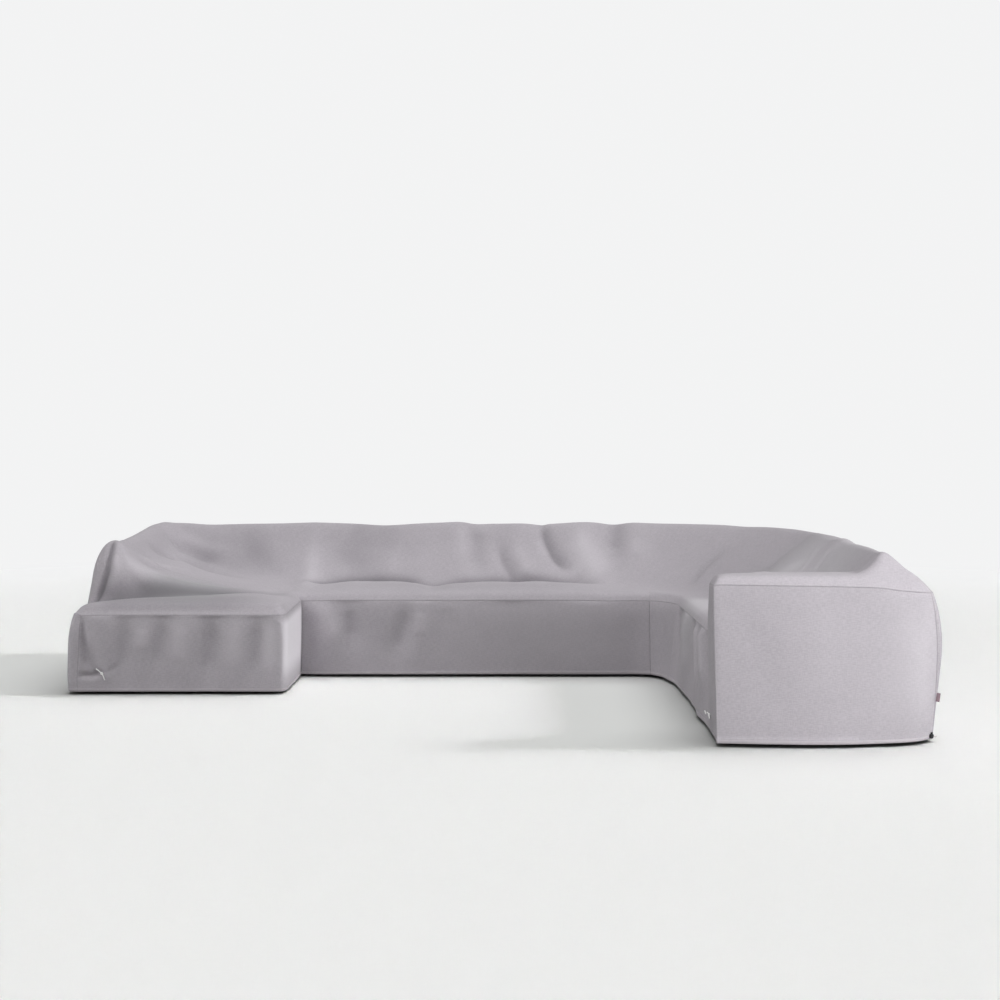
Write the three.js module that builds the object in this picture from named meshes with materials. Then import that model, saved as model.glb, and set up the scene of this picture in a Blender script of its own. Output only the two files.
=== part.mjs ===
// Fitted cover for a U-shaped sectional sofa: a hollow shell of sewn cloth panels, with its ties and label.
// Sizes are in millimetres. X runs right, Y to the back and Z up, from the middle of the hem.
import * as THREE from 'three';

// Cloth
const CLOTH = 2;
const SEAM_GAP = 0.3;

// Outline in plan
const SIDE_X = 2150;
const BACK_Y = 1400;
const CHAISE_FRONT_Y = -128;
const CHAISE_INNER_X = -972;
const MAIN_FRONT_Y = 445;
const END_Y = -1385;
const SHOULDER_IN = 32;
const ARC = { x: 890, y: 140, radius: SIDE_X - 890 };
const INNER_CORNER = { x: 1000, y: 200, across: 190, deep: MAIN_FRONT_Y - 200 };
const GORE_LEFT_X = 1053;
const ARM_SKIRT_Y = -680;
const BACK_CORNER_ROUND = 130;
const END_CORNER_ROUND = 95;
const CHAISE_LEFT_ROUND = 45;
const CHAISE_RIGHT_ROUND = 45;
const CHAISE_SEAM_X = -2106;
const CHAISE_CORNER_PANEL = 36;

// Heights
const SHOULDER_Z = 660;
const SEAT_Z = 492;
const CORNER_SEAT_Z = 476;
const CHAISE_SEAT_Z = 484;
const END_ARM_Z = 738;
const CORNER_CHANGE = { from: 700, to: 1100 };
const CHAISE_CHANGE = { across: 240, backY: MAIN_FRONT_Y + 300, deep: 400 };
const CHAISE_SEAM_Z = 410;
const MAIN_SEAM_Z = 427;

// Left arm, a row for each section from the front to the back
const LEFT_ARM = [
  { y: -128, crest: 484, shoulder: 412 },
  { y: 40, crest: 488, shoulder: 412 },
  { y: 110, crest: 530, shoulder: 416 },
  { y: 180, crest: 720, shoulder: 445 },
  { y: 240, crest: 790, shoulder: 550 },
  { y: 345, crest: 788, shoulder: 610 },
  { y: 480, crest: 788, shoulder: 622 },
  { y: 600, crest: 794, shoulder: 632 },
  { y: 980, crest: 822, shoulder: 655 },
  { y: 1400, crest: 838, shoulder: 660 },
];

// Back crest, a row for each section along it from the left end round to the wing's end
const CREST = [
  { run: 0, height: 842, inset: 165, foot: 640 },
  { run: 260, height: 838, inset: 160, foot: 640 },
  { run: 640, height: 840, inset: 158, foot: 620 },
  { run: 1010, height: 847, inset: 158, foot: 575 },
  { run: 1450, height: 834, inset: 160, foot: 570 },
  { run: 1870, height: 850, inset: 158, foot: 575 },
  { run: 2280, height: 838, inset: 162, foot: 570 },
  { run: 2650, height: 849, inset: 158, foot: 580 },
  { run: 3000, height: 844, inset: 158, foot: 680 },
  { run: 3500, height: 843, inset: 160, foot: 770 },
  { run: 4100, height: 843, inset: 162, foot: 785 },
  { run: 4600, height: 839, inset: 166, foot: 785 },
  { run: 4900, height: 842, inset: 180, foot: 770 },
  { run: 5200, height: 838, inset: 205, foot: 740 },
  { run: 5500, height: 830, inset: 222, foot: 720 },
  { run: 5850, height: 825, inset: 226, foot: 620 },
  { run: 6200, height: 822, inset: 226, foot: 560 },
];
const CREST_START_X = -1985;
const CREST_RADIUS = ARC.radius - 160;

// Share of the rise that is left, from the crest to the foot of the slope
const BACK_SLOPE = [
  { along: 0, share: 1 },
  { along: 0.06, share: 0.975 },
  { along: 0.13, share: 0.9 },
  { along: 0.2, share: 0.8 },
  { along: 0.27, share: 0.69 },
  { along: 0.36, share: 0.56 },
  { along: 0.48, share: 0.42 },
  { along: 0.6, share: 0.29 },
  { along: 0.72, share: 0.18 },
  { along: 0.86, share: 0.07 },
  { along: 1, share: 0 },
];

// The left arm's long slope down to the chaise, in from its outer face
const LEFT_SLOPE = [
  { inside: 165, share: 1 },
  { inside: 200, share: 0.93 },
  { inside: 269, share: 0.64 },
  { inside: 343, share: 0.48 },
  { inside: 443, share: 0.35 },
  { inside: 589, share: 0.22 },
  { inside: 829, share: 0.09 },
  { inside: 1060, share: 0 },
];

// The end arm, from the end panel back to the seat behind it
const ARM_SLOPE = [
  { behind: 0, share: 1 },
  { behind: 175, share: 1 },
  { behind: 215, share: 0.86 },
  { behind: 290, share: 0.42 },
  { behind: 380, share: 0.12 },
  { behind: 480, share: 0 },
];

// How far the cloth has risen above its seam, by distance from that seam
const SEAT_EDGE = [
  { inside: 0, rise: 0 },
  { inside: 18, rise: 32 },
  { inside: 55, rise: 55 },
  { inside: 120, rise: 72 },
  { inside: 200, rise: 140 },
  { inside: 320, rise: 420 },
];
const END_EDGE = [
  { inside: 0, rise: 0 },
  { inside: 16, rise: 28 },
  { inside: 60, rise: 66 },
  { inside: 120, rise: 132 },
  { inside: 200, rise: 225 },
  { inside: 360, rise: 450 },
];

// How widely each edge blends into the cloth above it
const EDGE_BLEND = { front: 12, shoulder: 22, end: 14 };

// The outer shoulders, from the seam (across 0) to the crest (across 1), as a share of the rise between them
const BACK_SHOULDER = [
  { across: 0, share: 0 },
  { across: 0.14, share: 0.24 },
  { across: 0.43, share: 0.47 },
  { across: 0.63, share: 0.67 },
  { across: 0.82, share: 0.93 },
  { across: 1, share: 1.22 },
  { across: 1.5, share: 2.3 },
];
const LEFT_SHOULDER = [
  { across: 0, share: 0 },
  { across: 0.17, share: 0.36 },
  { across: 0.36, share: 0.73 },
  { across: 0.51, share: 0.97 },
  { across: 0.77, share: 1.3 },
  { across: 1.5, share: 2.6 },
];

// The seam along the wing's inner edge and over its end arm, a row for each section
const WING_SEAM = [
  { y: 200, x: 1190, z: 425 },
  { y: -400, x: 1184, z: 425 },
  { y: -900, x: 1176, z: 426 },
  { y: -1060, x: 1168, z: 436 },
  { y: -1150, x: 1150, z: 520 },
  { y: -1215, x: 1134, z: 640 },
  { y: -1260, x: 1127, z: 690 },
  { y: -1385, x: 1124, z: 697 },
];

// The seam along the top of the end panel
const END_SEAM = [
  { x: 1124, z: 697 },
  { x: 1512, z: 691 },
  { x: 1850, z: 683 },
  { x: 1950, z: 670 },
  { x: 2150, z: 656 },
];

// Where the skirts' side seams reach the hem, and how far out from their top seams the plain hems lie
const HEM_AT = {
  gore: { x: 1060, y: 402 },
  wing: { x: 1134, y: 225 },
  end: { x: 1136, y: -1396 },
  outer: { x: 2118, y: -1292 },
};
const HEM_OUT = { chaise: 5, main: 20, gore: 4, back: 14, left: 14 };

// Hem round the inner corner and along the wing, a row for each turn of it
const INNER_HEM = [
  HEM_AT.gore,
  { x: 1105, y: 345 },
  HEM_AT.wing,
  { x: 1158, y: 20 },
  { x: 1156, y: -640 },
  { x: 1146, y: -720 },
  { x: 1152, y: -1100 },
  { x: 1146, y: -1290 },
  HEM_AT.end,
];

// Hem under the end panel
const END_HEM = [
  HEM_AT.end,
  { x: 1380, y: -1417 },
  { x: 1625, y: -1425 },
  { x: 1870, y: -1400 },
  { x: 2030, y: -1358 },
  HEM_AT.outer,
];

// Hem of the wing's outer side
const OUTER_HEM = [
  HEM_AT.outer,
  { x: 2126, y: -1200 },
  { x: 2132, y: -900 },
  { x: 2132, y: -300 },
  { x: 2122, y: 200 },
];

// Outward swell of each kind of skirt, by the share of its drop
const OUTER_SWELL = [
  { down: 0, out: 0 },
  { down: 0.08, out: 18 },
  { down: 0.19, out: 33 },
  { down: 0.31, out: 42 },
  { down: 0.58, out: 33 },
  { down: 1, out: 0 },
];
const INNER_SWELL = [
  { down: 0, out: 0 },
  { down: 0.06, out: 5 },
  { down: 0.2, out: 9 },
  { down: 0.5, out: 6 },
  { down: 1, out: 0 },
];
const END_SWELL = [
  { down: 0, out: 0 },
  { down: 0.05, out: 7 },
  { down: 0.3, out: 14 },
  { down: 0.7, out: 9 },
  { down: 1, out: 0 },
];

// Soft troughs (deep above 0) and ridges (below 0) of the tops, each along a line in plan
const TOP_FOLDS = [
  { x0: -1950, y0: 1180, x1: -1640, y1: 1010, deep: 14, wide: 75 },
  { x0: -1880, y0: 1240, x1: -1480, y1: 1060, deep: -9, wide: 80 },
  { x0: -1780, y0: 1290, x1: -1330, y1: 960, deep: 12, wide: 90 },
  { x0: -1010, y0: 1140, x1: -975, y1: 520, deep: -13, wide: 95 },
  { x0: -560, y0: 1220, x1: -480, y1: 940, deep: 7, wide: 120 },
  { x0: -75, y0: 1240, x1: -60, y1: 930, deep: -10, wide: 85 },
  { x0: 34, y0: 1240, x1: 60, y1: 980, deep: 14, wide: 80 },
  { x0: 175, y0: 1110, x1: 300, y1: 850, deep: 13, wide: 70 },
  { x0: 300, y0: 1150, x1: 400, y1: 860, deep: -9, wide: 85 },
  { x0: 470, y0: 1200, x1: 600, y1: 920, deep: 20, wide: 75 },
  { x0: 690, y0: 1210, x1: 740, y1: 850, deep: -12, wide: 120 },
  { x0: 895, y0: 1200, x1: 900, y1: 1000, deep: 13, wide: 75 },
  { x0: 1040, y0: 1220, x1: 1020, y1: 960, deep: -8, wide: 80 },
  { x0: 1690, y0: 920, x1: 1340, y1: 560, deep: 9, wide: 60 },
  { x0: 1900, y0: 280, x1: 1420, y1: 250, deep: 10, wide: 80 },
  { x0: 1930, y0: -500, x1: 1560, y1: -470, deep: -10, wide: 85 },
  { x0: 1930, y0: -640, x1: 1560, y1: -620, deep: 10, wide: 80 },
  { x0: -1900, y0: 250, x1: -1060, y1: 500, deep: 20, wide: 85 },
  { x0: -1750, y0: 110, x1: -1250, y1: 160, deep: -10, wide: 170 },
  { x0: -225, y0: 470, x1: -215, y1: 860, deep: 14, wide: 70 },
  { x0: -880, y0: 880, x1: 700, y1: 870, deep: 14, wide: 80 },
  { x0: -770, y0: 640, x1: -400, y1: 640, deep: -12, wide: 150 },
  { x0: -60, y0: 640, x1: 560, y1: 640, deep: -12, wide: 150 },
];

// Soft troughs and ridges of the skirts, each from its top to its foot, along X or Y of its skirt
const SKIRT_FOLDS = {
  skirt_chaise: [
    { at: -2095, top: 400, to: -2030, foot: 150, deep: 12, wide: 45 },
    { at: -1960, top: 400, to: -1950, foot: 60, deep: -5, wide: 80 },
    { at: -1830, top: 380, to: -1842, foot: 90, deep: 10, wide: 60 },
    { at: -1645, top: 385, to: -1655, foot: 70, deep: 11, wide: 62 },
    { at: -1370, top: 390, to: -1385, foot: 60, deep: 13, wide: 70 },
    { at: -1122, top: 380, to: -1130, foot: 80, deep: 9, wide: 58 },
  ],
  skirt_main: [
    { at: -930, top: 420, to: -940, foot: 30, deep: 9, wide: 50 },
    { at: -890, top: 400, to: -790, foot: 170, deep: -8, wide: 50 },
    { at: -690, top: 380, to: -660, foot: 180, deep: 10, wide: 85 },
    { at: -350, top: 330, to: -420, foot: 130, deep: 9, wide: 55 },
    { at: -270, top: 400, to: -275, foot: 80, deep: -7, wide: 55 },
    { at: 250, top: 390, to: 235, foot: 60, deep: 6, wide: 110 },
    { at: 700, top: 400, to: 690, foot: 40, deep: -5, wide: 120 },
  ],
  skirt_wing: [
    { at: 60, top: 400, to: 100, foot: 60, deep: 12, wide: 75 },
    { at: -180, top: 390, to: -160, foot: 60, deep: -8, wide: 80 },
    { at: -420, top: 380, to: -380, foot: 70, deep: 11, wide: 75 },
    { at: -650, top: 400, to: -660, foot: 30, deep: 9, wide: 55 },
  ],
  skirt_arm: [
    { at: -760, top: 420, to: -850, foot: 140, deep: -12, wide: 60 },
    { at: -960, top: 400, to: -940, foot: 60, deep: 13, wide: 80 },
    { at: -1170, top: 500, to: -1180, foot: 60, deep: -6, wide: 70 },
  ],
  skirt_end: [
    { at: 1330, top: 640, to: 1345, foot: 80, deep: 4, wide: 110 },
    { at: 1730, top: 620, to: 1700, foot: 90, deep: 5, wide: 130 },
    { at: 1990, top: 640, to: 2010, foot: 200, deep: -6, wide: 90 },
  ],
  skirt_left: [
    { at: 60, top: 380, to: 80, foot: 60, deep: 9, wide: 80 },
    { at: 330, top: 480, to: 280, foot: 90, deep: 11, wide: 80 },
    { at: 760, top: 560, to: 790, foot: 60, deep: 9, wide: 95 },
    { at: 1120, top: 580, to: 1090, foot: 70, deep: 12, wide: 90 },
  ],
  skirt_back: [
    { at: -1700, top: 600, to: -1720, foot: 60, deep: 12, wide: 95 },
    { at: -1180, top: 590, to: -1140, foot: 50, deep: 9, wide: 90 },
    { at: -640, top: 600, to: -660, foot: 60, deep: 13, wide: 100 },
    { at: -90, top: 600, to: -60, foot: 60, deep: 10, wide: 85 },
    { at: 420, top: 580, to: 400, foot: 50, deep: 12, wide: 100 },
    { at: 830, top: 600, to: 850, foot: 60, deep: 8, wide: 80 },
  ],
  skirt_outer: [
    { at: -140, top: 590, to: -120, foot: 60, deep: 11, wide: 90 },
    { at: -560, top: 600, to: -600, foot: 60, deep: 9, wide: 85 },
    { at: -1010, top: 590, to: -980, foot: 60, deep: 10, wide: 95 },
  ],
};

const SKIRT_FOLD_END = 60;

// Ties: a knot sewn to its skirt, and two free tails whose routes run across, up and out from its foot
const KNOT = {
  sides: 10,
  profile: [
    { radius: 0, up: 0 },
    { radius: 4.5, up: 0 },
    { radius: 6, up: 2.8 },
    { radius: 4.8, up: 6 },
    { radius: 2.1, up: 8 },
    { radius: 0, up: 8 },
  ],
};
const TAIL_THICK = 4.4;
const CORD_SIDES = 8;
const TIES = [
  {
    name: 'tie_chaise',
    skirt: 'skirt_chaise',
    at: { x: -1953, y: -130, z: 99 },
    tails: [
      [[-4.2, 4.0, 4.6], [-11, 11, 8], [-20, 19, 9], [-29, 24, 5.5]],
      [[3.9, -5.1, 4.6], [8, -12, 8], [12, -21, 9], [15.5, -32, 6]],
    ],
  },
  {
    name: 'tie_wing',
    skirt: 'skirt_arm',
    at: { x: 1150, y: -1170, z: 80 },
    tails: [
      [[-5.5, 3.2, 4.6], [-13, 6, 9], [-20, 11, 13], [-31, 9, 14]],
      [[5.8, -2.8, 4.6], [13, -4, 9], [20, -9, 12], [33, -15, 8]],
    ],
  },
];

// Cord lock at the foot of the right corner: a block with a button on top, and the draw cord's end beside it
const LOCK = {
  skirt: 'skirt_end',
  at: { x: 2106, y: -1306, z: 14 },
  wide: 20,
  tall: 19,
  thick: 11,
  round: 6,
  eye: { x: 2.4, y: -1, radius: 2.3 },
  button: { radius: 5, tall: 8 },
};
const DRAW_CORD = {
  thick: 3.4,
  route: [[10.4, -1, 5.6], [15, -1.2, 5.7], [20, -3, 6.5], [27, -6, 7], [36, -6.5, 6.5], [43, -5.5, 6]],
};

// Blank label tab, sewn into the right corner's seam
const LABEL = { skirt: 'skirt_outer', at: { x: 2140, y: -1330, z: 188 }, wide: 17, tall: 40, thick: 1 };

// Points closer than this are one, and the sharpest mitre that a seam may have
const SAME_POINT = 0.02;
const LEAST_MITRE = 0.55;

// Grid steps
const CHAISE_COLUMNS = 15;
const MAIN_COLUMNS = 24;
const GORE_COLUMNS = 10;
const CHAISE_ROWS = 8;
const CHAISE_ROWS_EVEN = { left: 0.41, right: 0.7 };
const TOP_ROWS = [
  0, 0.02, 0.06, 0.125, 0.21, 0.3, 0.385, 0.455, 0.525, 0.595, 0.66, 0.72, 0.77, 0.81, 0.85, 0.895, 0.945, 1,
];
const WING_ROWS_Y = [
  200, 110, 20, -70, -160, -250, -340, -430, -520, -600, -680, -760, -850, -940, -1020, -1090, -1150, -1195,
  -1230, -1262, -1298, -1340, -1370, -1385,
];
const SKIRT_ROWS = [0, 0.05, 0.16, 0.34, 0.56, 0.78, 1];

const PANEL_SHADES = [0.94, 0.97, 1, 1.03];
const ROUGH = 0.8;
const SATIN = 0.45;
const COLOURS = { cloth: '#a9a1a9', tie: '#f2f1ef', lock: '#17171a', drawCord: '#cfcac2', label: '#8d7880' };

// Smooth curve through a table's rows, with no overshoot between them
function through(rows, key, value, at) {
  const last = rows.length - 1;
  const rising = rows[last][key] > rows[0][key];
  const order = (row) => (rising ? row[key] : -row[key]);
  const p = rising ? at : -at;
  if (p <= order(rows[0])) return rows[0][value];
  if (p >= order(rows[last])) return rows[last][value];
  let i = 0;
  while (p > order(rows[i + 1])) i += 1;
  const slope = (a) => (rows[a + 1][value] - rows[a][value]) / (order(rows[a + 1]) - order(rows[a]));
  const tangent = (a) => {
    if (a === 0) return slope(0);
    if (a === last) return slope(last - 1);
    const before = slope(a - 1);
    const after = slope(a);
    return before * after <= 0 ? 0 : (2 * before * after) / (before + after);
  };
  const wide = order(rows[i + 1]) - order(rows[i]);
  const t = (p - order(rows[i])) / wide;
  const t2 = t * t;
  const t3 = t2 * t;
  return (
    (2 * t3 - 3 * t2 + 1) * rows[i][value] +
    (t3 - 2 * t2 + t) * wide * tangent(i) +
    (3 * t2 - 2 * t3) * rows[i + 1][value] +
    (t3 - t2) * wide * tangent(i + 1)
  );
}

function lerp(a, b, t) {
  return a + (b - a) * t;
}

function clamp01(t) {
  return Math.min(1, Math.max(0, t));
}

function softMin(a, b, blend) {
  return (a + b - Math.hypot(a - b, blend)) / 2;
}

// How far along a fold's line a point lies, and how much of the fold reaches it
function foldAt(fold, x, y) {
  const dx = fold.x1 - fold.x0;
  const dy = fold.y1 - fold.y0;
  const long = Math.hypot(dx, dy);
  const along = ((x - fold.x0) * dx + (y - fold.y0) * dy) / long;
  const aside = ((y - fold.y0) * dx - (x - fold.x0) * dy) / long / fold.wide;
  const past = Math.max(0, -along, along - long) / fold.wide;
  return fold.deep * Math.exp(-aside * aside - past * past);
}

// Distance along the back's crest of the plan point nearest to it
function crestRun(x, y) {
  const straight = ARC.x - CREST_START_X;
  if (x <= ARC.x) return x - CREST_START_X;
  if (y <= ARC.y) return straight + (CREST_RADIUS * Math.PI) / 2 + ARC.y - y;
  return straight + CREST_RADIUS * Math.atan2(x - ARC.x, y - ARC.y);
}

// Distances in from the outline's outer faces
function insideBack(x, y) {
  if (x <= ARC.x) return BACK_Y - y;
  if (y <= ARC.y) return SIDE_X - x;
  return ARC.radius - Math.hypot(x - ARC.x, y - ARC.y);
}

function insideLeft(x) {
  return x + SIDE_X;
}

function insideOuter(x, y) {
  const left = insideLeft(x);
  const back = insideBack(x, y);
  if (left < BACK_CORNER_ROUND && back < BACK_CORNER_ROUND) {
    return BACK_CORNER_ROUND - Math.hypot(BACK_CORNER_ROUND - left, BACK_CORNER_ROUND - back);
  }
  return Math.min(left, back);
}

function insideEnd(x, y) {
  const side = SIDE_X - SHOULDER_IN - x;
  const end = y - END_Y;
  if (side < END_CORNER_ROUND && end < END_CORNER_ROUND) {
    return END_CORNER_ROUND - Math.hypot(END_CORNER_ROUND - side, END_CORNER_ROUND - end);
  }
  return end;
}

// Distance in from the front seams, and the height of the seam there
function insideFront(x, y) {
  if (x <= CHAISE_INNER_X) {
    const front = y - CHAISE_FRONT_Y;
    if (y >= MAIN_FRONT_Y) return Math.min(front, Math.hypot(CHAISE_INNER_X - x, y - MAIN_FRONT_Y));
    const side = CHAISE_INNER_X - x;
    if (front < CHAISE_RIGHT_ROUND && side < CHAISE_RIGHT_ROUND) {
      return CHAISE_RIGHT_ROUND - Math.hypot(CHAISE_RIGHT_ROUND - front, CHAISE_RIGHT_ROUND - side);
    }
    return Math.min(front, side);
  }
  if (x <= INNER_CORNER.x) return y - MAIN_FRONT_Y;
  if (y <= INNER_CORNER.y) return x - through(WING_SEAM, 'y', 'x', y);
  const dx = x - INNER_CORNER.x;
  const dy = y - INNER_CORNER.y;
  const ring = Math.hypot(dx / INNER_CORNER.across, dy / INNER_CORNER.deep);
  return (1 - 1 / ring) * Math.hypot(dx, dy);
}

function frontSeamZ(x, y) {
  const back = clamp01((y - CHAISE_FRONT_Y) / (MAIN_FRONT_Y - CHAISE_FRONT_Y));
  if (x <= CHAISE_INNER_X) return lerp(CHAISE_SEAM_Z, MAIN_SEAM_Z, back);
  if (x <= INNER_CORNER.x) return MAIN_SEAM_Z;
  return through(WING_SEAM, 'y', 'z', y);
}

// Height of the outer shoulders over their seam, which the cloth between them and the crest stays under
function shoulderZ(x, y) {
  const inside = insideOuter(x, y) - SHOULDER_IN;
  const run = crestRun(x, y);
  const across = inside / (through(CREST, 'run', 'inset', run) - SHOULDER_IN);
  const backRise = through(CREST, 'run', 'height', run) - SHOULDER_Z;
  const onBack = backRise * through(BACK_SHOULDER, 'across', 'share', across);
  const seam = through(LEFT_ARM, 'y', 'shoulder', y);
  const leftRise = through(LEFT_ARM, 'y', 'crest', y) - seam;
  const onLeft = leftRise * through(LEFT_SHOULDER, 'across', 'share', across);
  const turn = clamp01(0.5 + (insideLeft(x) - insideBack(x, y)) / (2 * BACK_CORNER_ROUND));
  return lerp(seam + onLeft, SHOULDER_Z + onBack, turn);
}

// Height of the seat, which changes softly from the chaise to the main run and on to the corner
function seatZ(x, y) {
  const corner = clamp01((x - CORNER_CHANGE.from) / (CORNER_CHANGE.to - CORNER_CHANGE.from));
  const across = clamp01(0.5 + (CHAISE_INNER_X - x) / CHAISE_CHANGE.across);
  const back = clamp01((CHAISE_CHANGE.backY - y) / CHAISE_CHANGE.deep);
  return lerp(lerp(SEAT_Z, CORNER_SEAT_Z, corner), CHAISE_SEAT_Z, across * back);
}

// Height of the cloth over the seat, back and arms, before its edges are rounded off
function spanZ(x, y) {
  const seat = seatZ(x, y);
  const run = crestRun(x, y);
  const inset = through(CREST, 'run', 'inset', run);
  const foot = through(CREST, 'run', 'foot', run);
  const down = clamp01((insideBack(x, y) - inset) / (foot - inset));
  const back = (through(CREST, 'run', 'height', run) - seat) * through(BACK_SLOPE, 'along', 'share', down);
  const leftRise = through(LEFT_ARM, 'y', 'crest', y) - seat;
  const left = Math.max(0, leftRise) * through(LEFT_SLOPE, 'inside', 'share', insideLeft(x));
  const onWing = x > ARC.x ? 1 : 0;
  const arm = onWing * (END_ARM_Z - seat) * through(ARM_SLOPE, 'behind', 'share', y - END_Y);
  const slopes = Math.cbrt(back ** 3 + left ** 3);
  return seat + (slopes ** 6 + arm ** 6) ** (1 / 6);
}

function topZ(x, y) {
  const fold = TOP_FOLDS.reduce((sum, row) => sum + foldAt(row, x, y), 0);
  const front = frontSeamZ(x, y) + through(SEAT_EDGE, 'inside', 'rise', insideFront(x, y));
  let z = spanZ(x, y) - fold;
  z = softMin(z, front, EDGE_BLEND.front);
  z = softMin(z, shoulderZ(x, y), EDGE_BLEND.shoulder);
  if (x > ARC.x && y < INNER_CORNER.y) {
    const end = through(END_SEAM, 'x', 'z', x) + through(END_EDGE, 'inside', 'rise', insideEnd(x, y));
    z = softMin(z, end, EDGE_BLEND.end);
  }
  return z;
}

function topPoint(x, y) {
  return new THREE.Vector3(x, y, topZ(x, y));
}

// Draws a square corner of the plan in to a round one
function roundCorner(x, y, corner) {
  const u = (corner.signX * (x - corner.x)) / corner.radius + 1;
  const v = (corner.signY * (y - corner.y)) / corner.radius + 1;
  if (u <= 0 || v <= 0) return [x, y];
  const ru = u * Math.sqrt(1 - (v * v) / 2);
  const rv = v * Math.sqrt(1 - (u * u) / 2);
  return [
    corner.x + corner.signX * corner.radius * (ru - 1),
    corner.y + corner.signY * corner.radius * (rv - 1),
  ];
}

const LEFT_EDGE_X = -SIDE_X + SHOULDER_IN;
const RIGHT_EDGE_X = SIDE_X - SHOULDER_IN;
const BACK_EDGE_Y = BACK_Y - SHOULDER_IN;
const ROUNDED = {
  back: { x: LEFT_EDGE_X, y: BACK_EDGE_Y, signX: -1, signY: 1, radius: BACK_CORNER_ROUND },
  chaiseLeft: { x: LEFT_EDGE_X, y: CHAISE_FRONT_Y, signX: -1, signY: -1, radius: CHAISE_LEFT_ROUND },
  chaiseRight: { x: CHAISE_INNER_X, y: CHAISE_FRONT_Y, signX: 1, signY: -1, radius: CHAISE_RIGHT_ROUND },
  end: { x: RIGHT_EDGE_X, y: END_Y, signX: 1, signY: -1, radius: END_CORNER_ROUND },
};

// Column positions, shared by the tops and the skirts that meet them
function chaiseColumns() {
  const first = CHAISE_SEAM_X + CHAISE_CORNER_PANEL;
  const last = CHAISE_INNER_X - CHAISE_RIGHT_ROUND;
  const xs = [LEFT_EDGE_X, first];
  for (let i = 1; i < CHAISE_COLUMNS; i += 1) xs.push(lerp(first, last, i / (CHAISE_COLUMNS - 1)));
  xs.push(CHAISE_INNER_X);
  return xs;
}

function mainColumns() {
  const xs = [];
  for (let i = 0; i <= MAIN_COLUMNS; i += 1) xs.push(lerp(CHAISE_INNER_X, GORE_LEFT_X, i / MAIN_COLUMNS));
  return xs;
}

function frontEdgeY(x) {
  if (x <= INNER_CORNER.x) return MAIN_FRONT_Y;
  const across = (x - INNER_CORNER.x) / INNER_CORNER.across;
  return INNER_CORNER.y + INNER_CORNER.deep * Math.sqrt(1 - across * across);
}

function backEdgeY(x) {
  if (x <= ARC.x) return BACK_EDGE_Y;
  return ARC.y + Math.sqrt((ARC.radius - SHOULDER_IN) ** 2 - (x - ARC.x) ** 2);
}

// Each top is a grid of points: columns along the run, rows from the front seam to the outer one
function chaiseTop() {
  const columns = chaiseColumns();
  return columns.map((x, i) => {
    const even = lerp(CHAISE_ROWS_EVEN.left, CHAISE_ROWS_EVEN.right, i / (columns.length - 1));
    const column = [];
    for (let j = 0; j <= CHAISE_ROWS; j += 1) {
      const share = j / CHAISE_ROWS;
      const y = lerp(CHAISE_FRONT_Y, MAIN_FRONT_Y, lerp(share * share, share, even));
      const [ax, ay] = roundCorner(x, y, ROUNDED.chaiseLeft);
      const [bx, by] = roundCorner(ax, ay, ROUNDED.chaiseRight);
      column.push(topPoint(bx, by));
    }
    return column;
  });
}

function mainTop() {
  const xs = [...chaiseColumns(), ...mainColumns().slice(1)];
  return xs.map((x) =>
    TOP_ROWS.map((share) => {
      const y = lerp(frontEdgeY(x), backEdgeY(x), share);
      const [ax, ay] = roundCorner(x, y, ROUNDED.back);
      return topPoint(ax, ay);
    }),
  );
}

function goreTop() {
  const innerStart = Math.acos((GORE_LEFT_X - INNER_CORNER.x) / INNER_CORNER.across);
  const outer = ARC.radius - SHOULDER_IN;
  const outerStart = Math.acos((GORE_LEFT_X - ARC.x) / outer);
  const outerEnd = Math.asin((INNER_CORNER.y - ARC.y) / outer);
  const columns = [];
  for (let i = 0; i <= GORE_COLUMNS; i += 1) {
    const share = i / GORE_COLUMNS;
    const inner = lerp(innerStart, 0, share);
    const x0 = INNER_CORNER.x + INNER_CORNER.across * Math.cos(inner);
    const y0 = INNER_CORNER.y + INNER_CORNER.deep * Math.sin(inner);
    const angle = lerp(outerStart, outerEnd, share);
    const x1 = ARC.x + outer * Math.cos(angle);
    const y1 = ARC.y + outer * Math.sin(angle);
    columns.push(TOP_ROWS.map((row) => topPoint(lerp(x0, x1, row), lerp(y0, y1, row))));
  }
  return columns;
}

function wingTop() {
  const start = ARC.x + Math.sqrt((ARC.radius - SHOULDER_IN) ** 2 - (INNER_CORNER.y - ARC.y) ** 2);
  return WING_ROWS_Y.map((y) => {
    const x0 = through(WING_SEAM, 'y', 'x', y);
    const x1 = y > ARC.y ? start : RIGHT_EDGE_X;
    return TOP_ROWS.map((row) => {
      const [x, ry] = roundCorner(lerp(x0, x1, row), y, ROUNDED.end);
      return topPoint(x, ry);
    });
  });
}

// Outward direction in plan at each point of a line, with the cover on its left
function outwards(line) {
  return line.map((p, i) => {
    const a = line[Math.max(0, i - 1)];
    const b = line[Math.min(line.length - 1, i + 1)];
    const long = Math.hypot(b.x - a.x, b.y - a.y);
    return new THREE.Vector2((b.y - a.y) / long, -(b.x - a.x) / long);
  });
}

// Plan length of a line up to each of its points
function planLengths(line) {
  let sum = 0;
  return line.map((p, i) => {
    if (i > 0) sum += Math.hypot(p.x - line[i - 1].x, p.y - line[i - 1].y);
    return sum;
  });
}

function skirtFold(rows, at, z) {
  return rows.reduce((sum, row) => {
    const share = clamp01((row.top - z) / (row.top - row.foot));
    const aside = (at - lerp(row.at, row.to, share)) / row.wide;
    const past = Math.max(0, z - row.top, row.foot - z) / SKIRT_FOLD_END;
    return sum + row.deep * Math.exp(-aside * aside - past * past);
  }, 0);
}

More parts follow.
